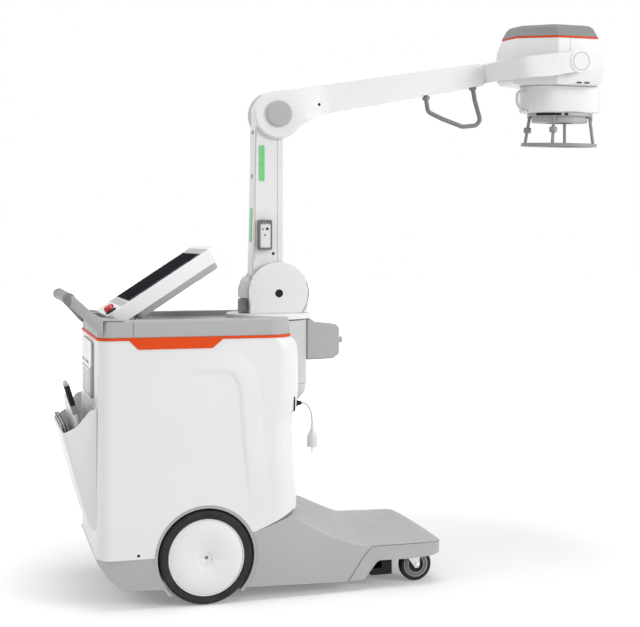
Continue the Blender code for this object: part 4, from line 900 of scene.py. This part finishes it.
def make_remote():
    """The remote control in its dark frame on the lower arm's side."""
    low_x, high_x, low_z, high_z = -0.0700, -0.0250, 0.148, 0.2510
    near, outer = -0.0383, -0.0668
    rim_outer = rounded_box(low_x, low_z, high_x, high_z, 0.005)
    back = prism(rim_outer, near - 0.0045, near)
    rim_inner = rounded_box(low_x + 0.0040, low_z + 0.0070, high_x - 0.0028, high_z - 0.0090, 0.003)
    walls = hoop(rim_outer, rim_inner, outer, near - 0.004, "Y")
    teeth = []
    for index in range(4):
        x = low_x + 0.0070 + 0.0092 * index
        teeth.append(prism(rounded_box(x, high_z - 0.0150, x + 0.0040, high_z - 0.0080, 0.0015, 3),
                           outer - 0.0004, outer + 0.006))
    piece("remote_frame", join(back, walls, *teeth), "lower_arm", "black_plastic", "seam",
          replaces=("remote_holder",))
    face = near - 0.0260
    box = prism(rounded_box(low_x + 0.0046, low_z + 0.0076, high_x - 0.0034, high_z - 0.0096, 0.003), face,
                near - 0.0052)
    piece("remote_case", box, "lower_arm", "remote_grey", "plate_white", bevel=0.0010,
          replaces=("remote_control",))
    for name, x, z, radius, paint in (("left", -0.0562, 0.2194, 0.0034, "cap_grey"),
                                      ("right", -0.0415, 0.2201, 0.0046, "black_plastic"),
                                      ("lower", -0.0496, 0.1990, 0.0036, "cap_grey")):
        profile = [(0, -0.0005), (radius, -0.0005), (radius, 0.0010), (radius * 0.7, 0.0018), (0, 0.0018)]
        button = turned([(r, face - h) for r, h in profile], "Y", (x, 0, z), 24)
        piece("remote_%s_button" % name, button, "lower_arm", "remote_grey", paint)


def make_roll_ring():
    """The grooved ring between the arm's end and the fork."""
    radius, length, groove = 0.0402, 0.0200, 0.0010
    profile = [(0, 0.0005), (radius, 0.0005)]
    for start in (0.0040, 0.0090, 0.0140):
        profile += [(radius, start), (radius - groove, start + 0.0004), (radius - groove, start + 0.0014),
                    (radius, start + 0.0018)]
    profile += [(radius, length), (0, length)]
    piece("grooved_roll_ring", turned(profile, "X", segments=64), "fork", "light_grey_cover", "arm_white",
          replaces=("roll_ring",))


def make_handle_collars():
    """Sleeves where the grab handle enters the arm, and the screws on the elbow's sides."""
    collars = []
    for x, height in ((0.563, -0.0212), (0.748, -0.0140)):
        profile = [(0.0082, height - 0.010), (0.0125, height - 0.010), (0.0135, height - 0.007),
                   (0.0135, height + 0.001), (0.0082, height + 0.001)]
        collars.append(ring_body(profile, "Z", (x, 0, 0), 32))
    piece("handle_collars", join(*collars), "upper_arm", "handle_grey")
    screw = [(0, 0.0440), (0.0052, 0.0440), (0.0052, 0.0486), (0.0040, 0.0490), (0, 0.0484)]
    piece("elbow_side_screws", join(*both_sides(screw, 0.150, 0.010, 24)), "upper_arm", "black_plastic")


# Head

def make_head_trim():
    """Seams and slots on the tube head's sides, and the ring round the fork's pivot."""
    seams = []
    for sign in (-1, 1):
        y = sign * (HEAD_SIDE_Y + 0.0001)
        # Height, and how far the side has drawn in there
        rise = ((0.0300, 0.0), (0.0440, 0.001), (0.0700, 0.0030), (0.0860, 0.0040))
        seams.append(tube([(-0.0170, y - sign * inward, z) for z, inward in rise], 0.0007))
    piece("head_seams", join(*seams), "head", "arm_white", "soft_seam")
    slots = [prism(rounded_box(x, -0.0735, x + 0.019, -0.0690, 0.002, 3), sign * 0.1600, sign * 0.1636)
             for sign in (-1, 1) for x in (0.014, 0.044)]
    piece("head_slots", join(*slots), "head", "black_plastic")
    disc = [(0.0300, -0.2158), (0.0300, -0.2164), (0.0312, -0.2166), (0.0324, -0.2164), (0.0324, -0.2158)]
    piece("pivot_ring", ring_body(disc, "Y", (0.313, 0, -0.008), 64), "fork", "arm_white", "soft_seam")


def round_the_beam(profile, radius, angles_deg, segments):
    """Upright turned rings on a circle round the beam, one at each angle."""
    made = []
    for angle in map(math.radians, angles_deg):
        centre = (radius * math.cos(angle), radius * math.sin(angle), 0)
        made.append(ring_body(profile, "Z", centre, segments))
    return made


def make_collimator_trim():
    """Side handle, collar, top edge, lens slot and lever, and what holds the spacer frame."""
    loop = curved([(-0.1420, 0, -0.0190), (-0.1620, 0, -0.0200), (-0.1720, 0, -0.0290), (-0.1745, 0, -0.0480),
                   (-0.1715, 0, -0.0660), (-0.1610, 0, -0.0810), (-0.1420, 0, -0.0900)], 5)
    piece("collimator_handle", tube(loop, 0.0054, 14), "collimator", "arm_white")
    # The collar that fills the gap between the head and the box
    collar = [(0.0965, -0.0054), (0.1075, -0.0054), (0.1085, -0.0046), (0.1085, -0.0016), (0.1075, -0.0010),
              (0.0965, -0.0010)]
    piece("turning_collar", ring_body(collar), "collimator", "arm_white")
    # The box's top edge, which closes the gap under the head
    plan = arc(0.093, -0.090, 0.020, -90, 0, 5) + arc(0.093, 0.090, 0.020, 0, 90, 5)
    plan += arc(-0.058, 0.025, 0.085, 90, 180, 12) + arc(-0.058, -0.025, 0.085, 180, 270, 12)
    piece("box_top", prism(plan, -0.0120, -0.0012, "Z"), "collimator", "arm_white", bevel=0.0015)
    slot_bodies = []
    for first, last in ((198, 246), (252, 258)):
        outline = arc(0, 0, 0.1188, first, last, 16) + arc(0, 0, 0.1165, last, first, 16)
        slot_bodies.append(prism(outline, -0.1075, -0.0992, "Z"))
    piece("lens_slot", join(*slot_bodies), "collimator", "black_plastic")
    knob = [(0.0058, -0.1700), (0.0115, -0.1700), (0.0140, -0.1675), (0.0142, -0.1610), (0.0142, -0.1555),
            (0.0135, -0.1515), (0.0110, -0.1490), (0.0058, -0.1490)]
    knobs = round_the_beam(knob, 0.1185, POST_ANGLES_DEG[2:], 36)
    piece("spacer_knobs", join(*knobs), "collimator", "spacer_grey")
    collar = [(0.0055, -0.1145), (0.0088, -0.1145), (0.0096, -0.1130), (0.0096, -0.1084), (0.0055, -0.1084)]
    collars = round_the_beam(collar, 0.111, POST_ANGLES_DEG, 28)
    piece("post_collars", join(*collars), "collimator", "spacer_grey")
    lever = prism(rounded_box(0.1130, -0.030, 0.1215, -0.018, 0.003, 3), -0.1240, -0.1000, "Z")
    piece("lens_lever", lever, "collimator", "black_plastic", bevel=0.0008)
    window = turned([(0, -0.1332), (0.046, -0.1332), (0.048, -0.1328), (0.052, -0.1322), (0, -0.1318)],
                    "Z", segments=48)
    piece("light_window", window, "collimator", "screen_glass")
    screw = [(0, -0.1432), (0.0030, -0.1432), (0.0030, -0.1436), (0, -0.1440)]
    piece("box_screw", turned(screw, "X", (0, -0.028, -0.091), 16), "collimator", "black_plastic")


# Monitor

def make_monitor_trim():
    """Strips and bezel round the screen, the stop button's base, the key, the vents and the hinge pins."""
    face = MONITOR_FACE
    half = 0.171
    strips = [prism(rounded_box(low, -half, high, half, 0.003, 3), face - 0.001, face + 0.0006, "Z")
              for low, high in ((-0.0120, 0.0140), (0.2975, 0.3240))]
    piece("monitor_strips", join(*strips), "monitor", "plate_grey", bevel=0.0004)
    bezel = hoop(rounded_box(0.0172, -0.1722, 0.2962, 0.1722, 0.005, 3),
                 rounded_box(0.0210, -0.1686, 0.2926, 0.1686, 0.003, 3), face - 0.0042, face + 0.0004, "Z")
    piece("screen_bezel", bezel, "monitor", "black_plastic", bevel=0.0003)
    base = ring_body([(0.0125, face + 0.0002), (0.0185, face + 0.0002), (0.0185, face + 0.0030),
                      (0.0168, face + 0.0052), (0.0125, face + 0.0052)], "Z", (-0.0454, -0.132, 0), 40)
    piece("stop_base", base, "monitor", "black_plastic")
    blade = prism(rounded_box(-0.0500, -0.0790, -0.0468, -0.0650, 0.001, 2), face + 0.0108, face + 0.0185,
                  "Z")
    piece("key_blade", blade, "monitor", "steel", bevel=0.0004)
    ring = ring_body([(0.0102, face + 0.0002), (0.0128, face + 0.0002), (0.0128, face + 0.0016),
                      (0.0102, face + 0.0024)], "Z", (-0.0484, -0.072, 0), 32)
    piece("key_ring", ring, "monitor", "steel")
    vents = []
    for index in range(9):
        low = 0.190 + 0.0105 * index
        vents.append(prism(rounded_box(low, -0.110, low + 0.0042, 0.110, 0.002, 3), -0.0112, -0.0100, "Z"))
    piece("monitor_vents", join(*vents), "monitor", "grey_cover", "seam")
    pin = [(0, 0.1235), (0.0062, 0.1235), (0.0062, 0.1203), (0, 0.1203)]
    piece("hinge_pins", join(*both_sides(pin, 0, 0, 20)), "root", "steel", place=FRAMES["monitor"])


make_camera()
make_cord()
make_world()
make_floor()
for lamp_row in LAMPS:
    make_lamp(*lamp_row)
dress_nodes()
make_crease()
make_body_trim()
make_platform_trim()
make_column_trim()
make_handle_grip()
make_rear_trim()
make_detector_trim()
make_wheel_trim()
make_caster_trim()
make_arm_trim()
make_remote()
make_roll_ring()
make_handle_collars()
make_head_trim()
make_collimator_trim()
make_monitor_trim()
bpy.context.scene.view_settings.view_transform = "Standard"
